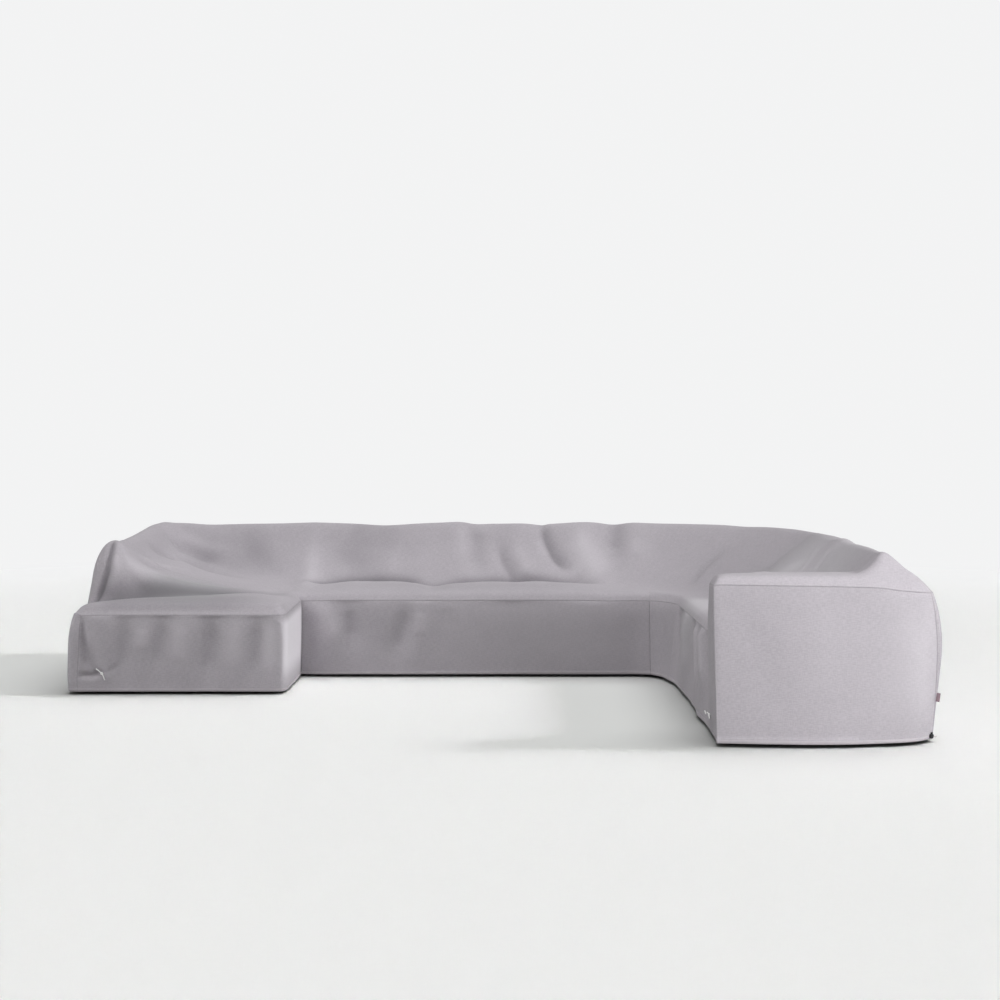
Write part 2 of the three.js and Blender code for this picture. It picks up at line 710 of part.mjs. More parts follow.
// A skirt hangs from its seam, a line of points, to a hem that each of them is given
function skirt(name, line, hemOf, swell, along) {
  const out = outwards(line);
  const tall = Math.max(...line.map((p) => p.z));
  const lengths = planLengths(line);
  return line.map((p, i) => {
    const hem = hemOf(p, out[i], lengths[i] / lengths[line.length - 1]);
    return SKIRT_ROWS.map((down) => {
      const z = lerp(p.z, hem.z, down);
      const edge = Math.min(1, down / SKIRT_ROWS[1]);
      const fold = edge * skirtFold(SKIRT_FOLDS[name], along === 'x' ? p.x : p.y, z);
      const push = through(swell, 'down', 'out', down) * (p.z / tall) - fold;
      return new THREE.Vector3(
        lerp(p.x, hem.x, down) + out[i].x * push,
        lerp(p.y, hem.y, down) + out[i].y * push,
        z,
      );
    });
  });
}

// A hem that lies a set distance out from the seam above it
function hemOut(distance) {
  return (p, out) => new THREE.Vector3(p.x + out.x * distance, p.y + out.y * distance, 0);
}

const tops = { top_chaise: chaiseTop(), top_main: mainTop(), top_gore: goreTop(), top_wing: wingTop() };

function firstRow(grid) {
  return grid.map((column) => column[0]);
}

function lastRow(grid) {
  return grid.map((column) => column[column.length - 1]);
}

// A hem that follows a table of its own, from one of its X or Y values to another
function hemAlong(rows, key, from, to) {
  const curve = new THREE.CatmullRomCurve3(rows.map((row) => new THREE.Vector3(row.x, row.y, 0)));
  const rising = Math.sign(to - from);
  const halvings = 30;
  return (p, out, share) => {
    const target = lerp(from, to, share) * rising;
    let low = 0;
    let high = 1;
    for (let i = 0; i < halvings; i += 1) {
      const middle = (low + high) / 2;
      if (curve.getPoint(middle)[key] * rising < target) low = middle;
      else high = middle;
    }
    return curve.getPoint(low);
  };
}

function skirts() {
  const chaise = tops.top_chaise;
  const main = tops.top_main;
  const wing = tops.top_wing;
  const chaiseLine = [...firstRow(chaise).slice(1), ...chaise[chaise.length - 1].slice(1)];
  const mainLine = firstRow(main).slice(chaiseColumns().length - 1);
  const seamY = WING_ROWS_Y.indexOf(ARM_SKIRT_Y);
  const wingLine = firstRow(wing);
  const endLine = wing[wing.length - 1];
  const outerLine = lastRow(wing).reverse();
  const goreOuter = lastRow(tops.top_gore).reverse();
  const backLine = lastRow(main).reverse();
  const leftLine = [...main[0].slice(1).reverse(), ...chaise[0].slice().reverse(), chaise[1][0]];
  const innerHem = (from, to) => hemAlong(INNER_HEM, 'y', from, to);
  const endHem = hemAlong(END_HEM, 'x', HEM_AT.end.x, HEM_AT.outer.x);
  const outerHem = hemAlong(OUTER_HEM, 'y', HEM_AT.outer.y, INNER_CORNER.y);
  const goreHem = innerHem(HEM_AT.gore.y, HEM_AT.wing.y);
  const wingHem = innerHem(HEM_AT.wing.y, ARM_SKIRT_Y);
  const armHem = innerHem(ARM_SKIRT_Y, HEM_AT.end.y);
  const hanging = {
    skirt_chaise: skirt('skirt_chaise', chaiseLine, hemOut(HEM_OUT.chaise), INNER_SWELL, 'x'),
    skirt_main: skirt('skirt_main', mainLine, hemOut(HEM_OUT.main), INNER_SWELL, 'x'),
    skirt_gore: skirt('skirt_wing', firstRow(tops.top_gore), goreHem, INNER_SWELL, 'y'),
    skirt_wing: skirt('skirt_wing', wingLine.slice(0, seamY + 1), wingHem, INNER_SWELL, 'y'),
    skirt_arm: skirt('skirt_arm', wingLine.slice(seamY), armHem, INNER_SWELL, 'y'),
    skirt_end: skirt('skirt_end', endLine, endHem, END_SWELL, 'x'),
    skirt_outer: skirt('skirt_outer', outerLine, outerHem, OUTER_SWELL, 'y'),
    skirt_gore_outer: skirt('skirt_outer', goreOuter, hemOut(HEM_OUT.gore), OUTER_SWELL, 'y'),
    skirt_back: skirt('skirt_back', backLine, hemOut(HEM_OUT.back), OUTER_SWELL, 'x'),
    skirt_left: skirt('skirt_left', leftLine, hemOut(HEM_OUT.left), OUTER_SWELL, 'y'),
  };
  const round = Object.values(hanging);
  round.forEach((grid, i) => joinSides(grid, round[(i + 1) % round.length]));
  return hanging;
}

// Two skirts that are sewn side to side share the upright line halfway between their edges
function joinSides(grid, next) {
  const last = grid.length - 1;
  grid[last].forEach((p, j) => {
    p.add(next[0][j]).multiplyScalar(0.5);
    next[0][j].copy(p);
  });
}

// Normals shared by the panels that meet, so that their thickness is mitred at each seam
function sharedNormals(panels) {
  const keyOf = (p) => p.toArray().map((n) => Math.round(n / SAME_POINT)).join(' ');
  const sums = new Map();
  const add = (p, normal) => {
    const key = keyOf(p);
    if (!sums.has(key)) sums.set(key, { sum: new THREE.Vector3(), faces: [] });
    const entry = sums.get(key);
    entry.sum.add(normal);
    entry.faces.push(normal.clone().normalize());
  };
  for (const grid of Object.values(panels)) {
    eachQuad(grid, (a, b, c, d) => {
      const normal = new THREE.Vector3().subVectors(c, a).cross(new THREE.Vector3().subVectors(d, b));
      [a, b, c, d].forEach((p) => add(p, normal));
    });
  }
  return (p) => {
    const { sum, faces } = sums.get(keyOf(p));
    const normal = sum.clone().normalize();
    const least = Math.min(...faces.map((face) => face.dot(normal)));
    return normal.multiplyScalar(1 / Math.max(LEAST_MITRE, least));
  };
}

function eachQuad(grid, visit) {
  for (let i = 0; i + 1 < grid.length; i += 1) {
    for (let j = 0; j + 1 < grid[i].length; j += 1) {
      visit(grid[i][j], grid[i + 1][j], grid[i + 1][j + 1], grid[i][j + 1]);
    }
  }
}

// Draws a panel's rim back by half the gap that its seams keep
function drawnIn(grid) {
  const lastColumn = grid.length - 1;
  const lastRowAt = grid[0].length - 1;
  const towards = (p, q) => new THREE.Vector3().subVectors(q, p).setLength(SEAM_GAP / 2);
  return grid.map((column, i) =>
    column.map((p, j) => {
      const moved = p.clone();
      if (i === 0) moved.add(towards(p, grid[1][j]));
      if (i === lastColumn) moved.add(towards(p, grid[i - 1][j]));
      if (j === 0) moved.add(towards(p, column[1]));
      if (j === lastRowAt) moved.add(towards(p, column[j - 1]));
      return moved;
    }),
  );
}

function comesFirst(p, q) {
  const weigh = (v) => v.x + 0.37 * v.y + 0.13 * v.z;
  return weigh(p) < weigh(q);
}

// A closed sheet: the outer face, the inner face one cloth's thickness in, and the rim
function sheetGeometry(grid, normalOf) {
  const columns = grid.length;
  const rows = grid[0].length;
  const outer = drawnIn(grid);
  const positions = [];
  const put = (p) => positions.push(p.x, p.y, p.z);
  outer.forEach((column) => column.forEach(put));
  outer.forEach((column, i) =>
    column.forEach((p, j) => put(p.clone().addScaledVector(normalOf(grid[i][j]), -CLOTH))),
  );
  const at = (i, j) => i * rows + j;
  const under = columns * rows;
  const index = [];
  const quad = (a, b, c, d) => index.push(a, b, c, a, c, d);
  for (let i = 0; i + 1 < columns; i += 1) {
    for (let j = 0; j + 1 < rows; j += 1) {
      const corners = [at(i, j), at(i + 1, j), at(i + 1, j + 1), at(i, j + 1)];
      // At a panel's corner the cloth folds towards the corner point, so the split runs through it
      if ((i === 0 && j + 2 === rows) || (i + 2 === columns && j === 0)) corners.push(corners.shift());
      quad(...corners);
      // The inner face is split along the outer one's diagonal, so the sheet stays as thick throughout
      const [a, b, c, d] = corners.map((corner) => under + corner);
      quad(a, d, c, b);
    }
  }
  const rim = [];
  for (let i = 0; i < columns; i += 1) rim.push([i, 0]);
  for (let j = 1; j < rows; j += 1) rim.push([columns - 1, j]);
  for (let i = columns - 2; i >= 0; i -= 1) rim.push([i, rows - 1]);
  for (let j = rows - 2; j > 0; j -= 1) rim.push([0, j]);
  rim.forEach(([i, j], n) => {
    const [k, l] = rim[(n + 1) % rim.length];
    const a = at(i, j);
    const b = at(k, l);
    // Both panels at a seam split its rim along the same diagonal
    if (comesFirst(grid[i][j], grid[k][l])) quad(a, a + under, b + under, b);
    else quad(b, a, a + under, b + under);
  });
  const geometry = new THREE.BufferGeometry();
  geometry.setAttribute('position', new THREE.Float32BufferAttribute(positions, 3));
  geometry.setIndex(index);
  geometry.computeVertexNormals();
  return geometry;
}

function clothMaterial(shade) {
  const colour = new THREE.Color(COLOURS.cloth).multiplyScalar(shade);
  return new THREE.MeshStandardMaterial({ color: colour, roughness: 0.9, metalness: 0 });
}

function plainMaterial(colour, roughness) {
  return new THREE.MeshStandardMaterial({ color: colour, roughness, metalness: 0 });
}

// Skirt grids run down from the seam, so their rows turn round to face out
function allPanels() {
  const panels = { ...tops };
  for (const [name, grid] of Object.entries(skirts())) {
    panels[name] = grid.map((column) => column.slice().reverse());
  }
  return panels;
}

function panelMeshes(panels) {
  const normalOf = sharedNormals(panels);
  return Object.entries(panels).map(([name, grid], i) => {
    const shade = PANEL_SHADES[i % PANEL_SHADES.length];
    return named(name, sheetGeometry(grid, normalOf), clothMaterial(shade));
  });
}

// The place on a panel nearest to a point, with the directions across, up and out from it
function seatOn(grid, near) {
  const target = new THREE.Vector3(near.x, near.y, near.z);
  const triangle = new THREE.Triangle();
  const found = { away: Infinity };
  eachQuad(grid, (a, b, c, d) => {
    for (const [p, q, r] of [[a, b, c], [a, c, d]]) {
      triangle.set(p, q, r);
      const point = triangle.closestPointToPoint(target, new THREE.Vector3());
      const away = point.distanceTo(target);
      if (away < found.away) {
        Object.assign(found, { away, point, out: triangle.getNormal(new THREE.Vector3()) });
      }
    }
  });
  const across = new THREE.Vector3(0, 0, 1).cross(found.out).normalize();
  const up = found.out.clone().cross(across);
  return { point: found.point, basis: new THREE.Matrix4().makeBasis(across, up, found.out) };
}

// A group whose X runs across the panel, Y up it and Z out of it, one seam gap off its face
function seatedGroup(grid, near) {
  const seat = seatOn(grid, near);
  const group = new THREE.Group();
  group.quaternion.setFromRotationMatrix(seat.basis);
  group.position.copy(seat.point).add(new THREE.Vector3(0, 0, SEAM_GAP).applyQuaternion(group.quaternion));
  return group;
}

function named(name, geometry, material) {
  const mesh = new THREE.Mesh(geometry, material);
  mesh.name = name;
  return mesh;
}

function cordGeometry(route, thick) {
  const curve = new THREE.CatmullRomCurve3(route.map((point) => new THREE.Vector3(...point)));
  const section = new THREE.Shape();
  section.absarc(0, 0, thick / 2, 0, Math.PI * 2);
  const steps = Math.round(curve.getLength() / (thick * 2));
  const options = { steps, curveSegments: CORD_SIDES, extrudePath: curve, bevelEnabled: false };
  return new THREE.ExtrudeGeometry(section, options);
}

function knotGeometry() {
  const profile = KNOT.profile.map((row) => new THREE.Vector2(row.radius, row.up));
  return new THREE.LatheGeometry(profile, KNOT.sides).rotateX(Math.PI / 2);
}

function tie(panels, spec) {
  const group = seatedGroup(panels[spec.skirt], spec.at);
  const material = plainMaterial(COLOURS.tie, ROUGH);
  group.add(named(`${spec.name}_knot`, knotGeometry(), material));
  spec.tails.forEach((route, i) => {
    group.add(named(`${spec.name}_tail_${i + 1}`, cordGeometry(route, TAIL_THICK), material));
  });
  return group;
}

function lock(panels) {
  const group = seatedGroup(panels[LOCK.skirt], LOCK.at);
  const { wide, tall, thick, round: r, button } = LOCK;
  const material = plainMaterial(COLOURS.lock, SATIN);
  const face = new THREE.Shape();
  face.absarc(wide / 2 - r, tall / 2 - r, r, 0, Math.PI / 2);
  face.absarc(r - wide / 2, tall / 2 - r, r, Math.PI / 2, Math.PI);
  face.absarc(r - wide / 2, r - tall / 2, r, Math.PI, Math.PI * 1.5);
  face.absarc(wide / 2 - r, r - tall / 2, r, Math.PI * 1.5, Math.PI * 2);
  const eye = new THREE.Path();
  eye.absarc(LOCK.eye.x, LOCK.eye.y, LOCK.eye.radius, 0, Math.PI * 2);
  face.holes.push(eye);
  const block = new THREE.ExtrudeGeometry(face, { depth: thick, curveSegments: 5, bevelEnabled: false });
  group.add(named('lock_block', block, material));
  const cap = new THREE.CylinderGeometry(button.radius, button.radius, button.tall, 12);
  cap.translate(0, tall / 2 + SEAM_GAP + button.tall / 2, thick / 2);
  group.add(named('lock_button', cap, material));
  const cord = cordGeometry(DRAW_CORD.route, DRAW_CORD.thick);
  group.add(named('draw_cord_end', cord, plainMaterial(COLOURS.drawCord, ROUGH)));
  return group;
}

function label(panels) {
  const group = seatedGroup(panels[LABEL.skirt], LABEL.at);
  const tab = new THREE.BoxGeometry(LABEL.thick, LABEL.tall, LABEL.wide).translate(0, 0, LABEL.wide / 2);
  group.add(named('label', tab, plainMaterial(COLOURS.label, ROUGH)));
  return group;
}

const panels = allPanels();
const cover = new THREE.Group();
cover.add(...panelMeshes(panels));
cover.add(...TIES.map((spec) => tie(panels, spec)));
cover.add(lock(panels), label(panels));

export default cover;
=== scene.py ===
"""Cloth cover of a U-shaped sectional sofa: sewn panels, ties, cord lock and label. Sizes are in metres."""
import math

import bmesh
import bpy
import numpy as np
from mathutils import Matrix, Vector, kdtree


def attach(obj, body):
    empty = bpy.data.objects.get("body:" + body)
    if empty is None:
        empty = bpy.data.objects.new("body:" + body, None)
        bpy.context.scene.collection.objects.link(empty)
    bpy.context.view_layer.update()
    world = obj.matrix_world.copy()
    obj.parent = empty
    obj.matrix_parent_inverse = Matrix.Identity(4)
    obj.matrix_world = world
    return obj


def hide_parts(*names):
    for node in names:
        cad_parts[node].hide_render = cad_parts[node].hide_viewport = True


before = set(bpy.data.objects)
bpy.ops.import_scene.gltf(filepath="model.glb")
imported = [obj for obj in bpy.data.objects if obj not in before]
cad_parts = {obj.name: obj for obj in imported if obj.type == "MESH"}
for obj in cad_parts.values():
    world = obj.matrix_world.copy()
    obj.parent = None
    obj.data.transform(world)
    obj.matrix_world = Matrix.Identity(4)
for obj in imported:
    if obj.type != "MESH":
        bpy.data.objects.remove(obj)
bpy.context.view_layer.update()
scene = bpy.context.scene


# Rows with named columns, of which a row may leave out the last ones
def table(columns, *rows):
    return [dict(zip(columns.split(), row)) for row in rows]


# Camera, level with a small shift, as the photograph was framed
CAMERA = {"place": (0.178, -7.115, 1.26), "lens": 46.8, "shift_x": 0.001, "shift_y": -0.043}

# Places on the cover that the small pieces sit on, each with its directions across, up and out
SEATS = {
    "tie_chaise": {
        "at": (-1.95310, -0.13686, 0.09888),
        "across": (0.99989, -0.01460, 0.0),
        "up": (-0.00026, -0.01770, 0.99984),
        "out": (-0.01460, -0.99974, -0.01771),
    },
    "tie_wing": {
        "at": (1.14424, -1.16957, 0.07972),
        "across": (-0.07516, -0.99717, 0.0),
        "up": (-0.04837, 0.00365, 0.99882),
        "out": (-0.99600, 0.07507, -0.04851),
    },
    "lock": {
        "at": (2.10551, -1.30541, 0.01411),
        "across": (0.76760, 0.64093, 0.0),
        "up": (0.08926, -0.10690, 0.99026),
        "out": (0.63468, -0.76012, -0.13926),
    },
    "label": {
        "at": (2.12703, -1.31952, 0.19040),
        "across": (0.62846, 0.77784, 0.0),
        "up": (0.11064, -0.08939, 0.98983),
        "out": (0.76993, -0.62207, -0.14224),
    },
}

# Routes of the free cords, across, up and out from their seats, in metres
CORDS = [
    {
        "name": "chaise_tie_left_tail",
        "node": "tie_chaise_tail_1",
        "seat": "tie_chaise",
        "knot": "chaise_tie_knot",
        "thick": 0.0056,
        "route": [
            (-0.0042, 0.0040, 0.0046), (-0.011, 0.011, 0.008),
            (-0.020, 0.019, 0.009), (-0.031, 0.026, 0.0060),
        ],
    },
    {
        "name": "chaise_tie_right_tail",
        "node": "tie_chaise_tail_2",
        "seat": "tie_chaise",
        "thick": 0.0056,
        "route": [
            (0.0039, -0.0051, 0.0046), (0.008, -0.012, 0.008),
            (0.012, -0.021, 0.009), (0.0165, -0.036, 0.0065),
        ],
    },
    {
        "name": "wing_tie_back_tail",
        "node": "tie_wing_tail_1",
        "seat": "tie_wing",
        "knot": "wing_tie_knot",
        "thick": 0.0054,
        "route": [
            (-0.0055, 0.0032, 0.0050), (-0.012, 0.010, 0.013),
            (-0.022, 0.002, 0.018), (-0.036, 0.016, 0.022),
        ],
    },
    {
        "name": "wing_tie_front_tail",
        "node": "tie_wing_tail_2",
        "seat": "tie_wing",
        "thick": 0.0054,
        "route": [
            (0.0058, -0.0028, 0.0050), (0.016, 0.007, 0.007),
            (0.032, -0.009, 0.007), (0.050, -0.003, 0.006),
        ],
    },
    {
        "name": "hem_cord_end",
        "node": "draw_cord_end",
        "seat": "lock",
        "thick": 0.0034,
        "route": [
            (0.0104, -0.0010, 0.0056), (0.0150, -0.0012, 0.0057), (0.0200, -0.0030, 0.0065),
            (0.0270, -0.0060, 0.0070), (0.0360, -0.0065, 0.0065), (0.0430, -0.0055, 0.0060),
        ],
    },
]

# Cloth panels: the node each stands for, the way it faces, and the size it was cut to
PANELS = table(
    "node piece faces flat area",
    ("top_chaise", "chaise_top", (0, 0, 1), (1.20, 0.70), 0.80),
    ("top_main", "main_top", (0, 0, 1), (3.20, 1.25), 3.76),
    ("top_gore", "corner_top", (0, 0, 1), (1.75, 1.35), 1.17),
    ("top_wing", "wing_top", (0, 0, 1), (1.70, 1.30), 1.89),
    ("skirt_chaise", "chaise_skirt", (0.3, -1, 0), (1.66, 0.43), 0.685),
    ("skirt_main", "main_skirt", (0, -1, 0), (2.03, 0.43), 0.871),
    ("skirt_gore", "corner_inner_skirt", (-1, -1, 0), (0.27, 0.43), 0.105),
    ("skirt_wing", "wing_inner_skirt", (-1, 0, 0), (0.90, 0.43), 0.384),
    ("skirt_arm", "arm_inner_skirt", (-1, 0, 0), (0.72, 0.70), 0.372),
    ("skirt_end", "end_panel", (0, -1, 0), (1.03, 0.70), 0.690),
    ("skirt_outer", "wing_outer_skirt", (1, 0, 0), (1.57, 0.67), 1.034),
    ("skirt_gore_outer", "corner_outer_skirt", (1, 1, 0), (1.74, 0.68), 1.163),
    ("skirt_back", "back_skirt", (0, 1, 0), (3.18, 0.70), 2.118),
    ("skirt_left", "left_skirt", (-1, 0, 0), (1.62, 0.70), 0.912),
)
TOPS = ("chaise_top", "main_top", "corner_top", "wing_top")

# The small hard and sewn pieces, and how a cord is laid up and knotted
LABEL = {
    "thick": 0.0008, "wide": 0.017, "tall": 0.040, "bend": 0.003,
    "tape": 0.0003, "sewn_in": 0.0004, "rows": 9, "rib_turns": 9000.0,
}
LOCK = {"round": 0.0008, "flat_angle": 0.02, "edge_angle": 0.9, "shade_angle": 0.7}
TWIST = {"strands": 3, "turn": 3.2, "rise": 0.05, "sealed_end": 0.06, "sides": 18}
KNOT = {
    "ring": 0.0040, "wave": 0.0019, "thick": 0.0026, "up": 0.0052, "relief": 1.2,
    "steps": 72, "sides": 12,
}
SAME_POINT = 0.00001

# The cloth, its smooth shell, and the edges of a panel's solid that are too short to belong to its faces
CLOTH_THICK = 0.0015
SMOOTHING = 3
FIT_ROUNDS = 3
RIM_STEP = 0.004
PANEL_SHIFT = 0.37 + 0.61j

# Seams, from the weld and the crease to how far a lapped edge rises, and the hem
SEAM_WELD = 0.0006
SEAM_CREASE = 0.45
TURNED_EDGE = 0.0008
SEAM_REACH = 0.04
SEAM_STEP = 0.002
SEAM_SINK = 0.0007
SOFT_SEAM = ("main_top", "corner_top")
SOFT_SEAM_FILL = 0.8
LAP = {"wide": 0.008, "fade": 0.004, "rise": 0.0009}
HEM = {"tall": 0.018, "step": 0.0012, "out": 0.0009, "foot": 0.004, "slack": 0.0003, "cut": 0.0002}

# Folds fade towards seams and at their ends, and puckers run along the seams
FOLD_FADE = 0.055
FOLD_START = -0.15
FOLD_END = 0.3
# Painted shade per metre of a fold's depth: troughs are painted darker and ridges lighter
FOLD_PAINTED_SHADE = 9.0
PUCKER = {
    "deep": 0.0009, "reach": 0.03, "every": 0.085, "start": 0.01,
    "drift": 0.35, "drift_turns": 10.3, "mean": 0.55, "swing": 0.45, "swing_turns": 17,
}

# Soft troughs (deep above 0) and ridges of the top cloth, each along a line in plan. Tone above 0 darkens
# the cloth with painted shade and below 0 lightens it with painted light, and where a row gives none it
# follows the depth, so troughs are painted darker and ridges lighter. End says how soon a fold is full
# after its line's start, and a fold with a lean is wider on one side of its line.
FOLD_COLUMNS = "line deep wide tone end lean"
TOP_FOLDS = table(
    FOLD_COLUMNS,
    ([(-2.007, 0.26), (-2.000, 0.20), (-2.000, 0.145), (-2.022, 0.110), (-2.05, 0.080), (-2.08, 0.05)],
     0.022, 0.017, 0.5, 0.1),
    ([(-1.960, 0.200), (-1.965, 0.130), (-1.985, 0.080)], -0.010, 0.03, -0.2),
    ([(-1.926, 0.259), (-1.855, 0.370), (-1.739, 0.446)], 0.008, 0.03),
    ([(-1.968, 0.206), (-1.885, 0.154), (-1.761, 0.108)], 0.006, 0.03),
    ([(-1.970, 0.253), (-1.898, 0.320), (-1.846, 0.424), (-1.70, 0.60)], -0.010, 0.03),
    ([(-2.03, 0.04), (-1.864, 0.09), (-1.651, 0.13), (-1.45, 0.17), (-1.25, 0.24), (-1.04, 0.32)],
     0.036, 0.062, 0.62, 0.08),
    ([(-1.98, -0.04), (-1.70, -0.03), (-1.40, -0.03), (-1.10, -0.03)], -0.006, 0.14, 0.42, 0.1),
    ([(-1.98, 0.15), (-1.92, 0.17), (-1.84, 0.24), (-1.70, 0.31)], 0.0, 0.09, -0.3),
    ([(-1.910, 0.662), (-1.852, 0.787), (-1.78, 0.86)], 0.014, 0.032),
    ([(-1.900, 1.069), (-1.799, 1.032), (-1.703, 1.008), (-1.576, 0.970)], 0.018, 0.034),
    ([(-1.82, 0.93), (-1.72, 0.89), (-1.56, 0.82), (-1.35, 0.78)], 0.014, 0.04),
    ([(-1.86, 1.13), (-1.70, 1.08), (-1.50, 1.04)], -0.010, 0.03),
    ([(-1.78, 1.02), (-1.45, 1.00), (-1.22, 1.04)], 0.0, 0.16, 0.28),
    ([(-1.50, 1.16), (-1.30, 1.02), (-1.14, 0.86)], 0.010, 0.07),
    ([(-1.015, 1.091), (-0.992, 0.933), (-0.955, 0.62)], -0.012, 0.06, -0.16),
    ([(-0.890, 1.101), (-0.754, 1.020), (-0.620, 0.927)], 0.010, 0.07, 0.13),
    ([(-0.80, 1.17), (-0.45, 1.10)], 0.0, 0.14, 0.22),
    ([(-0.70, 0.60), (0.0, 0.60), (0.70, 0.60)], 0.0, 0.14, 0.12),
    ([(-1.90, 0.18), (-1.55, 0.32), (-1.20, 0.36)], 0.0, 0.14, 0.24),
    ([(-0.62, 1.14), (-0.52, 1.02), (-0.44, 0.93)], -0.007, 0.06),
    ([(-0.94, 0.76), (-0.80, 0.83), (-0.59, 0.865), (-0.38, 0.85), (-0.20, 0.80)], 0.040, 0.036, 0.2, 0.12),
    ([(-0.96, 0.76), (-0.85, 0.84), (-0.731, 0.875), (-0.55, 0.89), (-0.38, 0.875), (-0.22, 0.83)],
     0.0, 0.05, 0.52, 0.12),
    ([(-0.22, 0.80), (0.02, 0.85), (0.28, 0.87), (0.52, 0.85), (0.74, 0.79)], 0.034, 0.036, 0.2, 0.12),
    ([(-0.22, 0.82), (0.0, 0.86), (0.184, 0.885), (0.425, 0.885), (0.66, 0.86), (0.78, 0.80)],
     0.0, 0.045, 0.38, 0.12),
    ([(-0.82, 0.73), (-0.58, 0.775), (-0.34, 0.74)], -0.013, 0.055, -0.03),
    ([(-0.04, 0.73), (0.26, 0.775), (0.58, 0.74)], -0.011, 0.055, -0.03),
    ([(0.46, 1.24), (0.49, 1.17)], -0.008, 0.06),
    ([(0.460, 1.200), (0.485, 1.13), (0.525, 1.06), (0.600, 0.975)], 0.022, 0.034, 0.36, 0.1),
    ([(0.42, 1.13), (0.47, 1.04)], -0.008, 0.04),
    ([(0.60, 0.98), (0.63, 0.89)], -0.008, 0.07),
    ([(0.66, 1.18), (0.70, 1.08), (0.76, 0.95), (0.81, 0.86)], -0.012, 0.09, -0.24),
    ([(0.04, 1.23), (0.05, 1.15)], -0.008, 0.06),
    ([(-0.075, 1.20), (-0.069, 1.12), (-0.06, 1.02)], -0.006, 0.05, -0.08),
    ([(0.02, 1.23), (0.031, 1.15), (0.04, 1.04), (0.06, 0.98)], 0.010, 0.05, 0.17),
    ([(0.175, 1.110), (0.225, 0.985), (0.290, 0.880)], 0.014, 0.036, 0.18),
    ([(0.26, 1.12), (0.33, 0.98), (0.40, 0.87)], -0.009, 0.045),
    ([(0.94, 1.25), (0.915, 1.16), (0.90, 1.05)], 0.012, 0.055, 0.22),
    ([(1.03, 1.10), (1.02, 0.98)], -0.008, 0.06),
    ([(1.556, 0.775), (1.415, 0.692), (1.304, 0.552)], 0.010, 0.022, 0.14),
    ([(1.84, 0.250), (1.75, 0.280), (1.60, 0.33), (1.42, 0.42)], 0.007, 0.016, 0.10),
    ([(1.78, 0.24), (1.68, 0.27), (1.50, 0.30)], 0.012, 0.13, 0.06),
    ([(1.86, -0.24), (1.80, -0.36), (1.66, -0.46)], -0.006, 0.018, -0.08),
    ([(1.80, -0.19), (1.72, -0.20), (1.60, -0.22)], -0.014, 0.13, -0.16),
    ([(1.84, -0.557), (1.79, -0.560), (1.70, -0.60)], 0.008, 0.018, 0.06),
    ([(1.79, -0.56), (1.72, -0.56), (1.62, -0.56)], 0.012, 0.12, -0.02),
    ([(1.79, -0.93), (1.74, -0.93), (1.65, -0.93)], -0.010, 0.13, -0.14),
    ([(1.32, 0.12), (1.28, -0.20), (1.30, -0.60)], -0.008, 0.15, -0.26),
    ([(1.26, 0.05), (1.22, -0.15), (1.22, -0.55)], 0.0, 0.12, -0.12),
    ([(1.76, 0.20), (1.75, -0.40), (1.75, -1.00)], 0.0, 0.24, -0.22),
)

# Places where the cloth is drawn a little out of its plain shape
PULLS = table(
    "at move reach",
    ((-2.13, -0.13, 0.02), (-0.016, 0, 0), 0.15),
    ((-2.10, 0.22, 0.66), (-0.014, 0, 0), 0.15),
    ((-2.02, 0.38, 0.76), (0, 0, -0.009), 0.20),
    ((-2.00, 0.75, 0.77), (0, 0, -0.009), 0.22),
    ((-1.95, 1.15, 0.82), (0, 0, -0.009), 0.20),
    ((1.93, -0.60, 0.80), (0, 0, 0.011), 0.24),
    ((1.95, -0.96, 0.78), (0, 0, 0.008), 0.15),
    ((0.62, 1.24, 0.83), (0, 0, -0.006), 0.10),
    ((-0.90, 0.60, 0.49), (0, 0, -0.015), 0.13),
    ((-0.12, 0.60, 0.49), (0, 0, -0.005), 0.12),
    ((0.84, 0.58, 0.49), (0, 0, -0.009), 0.16),
)
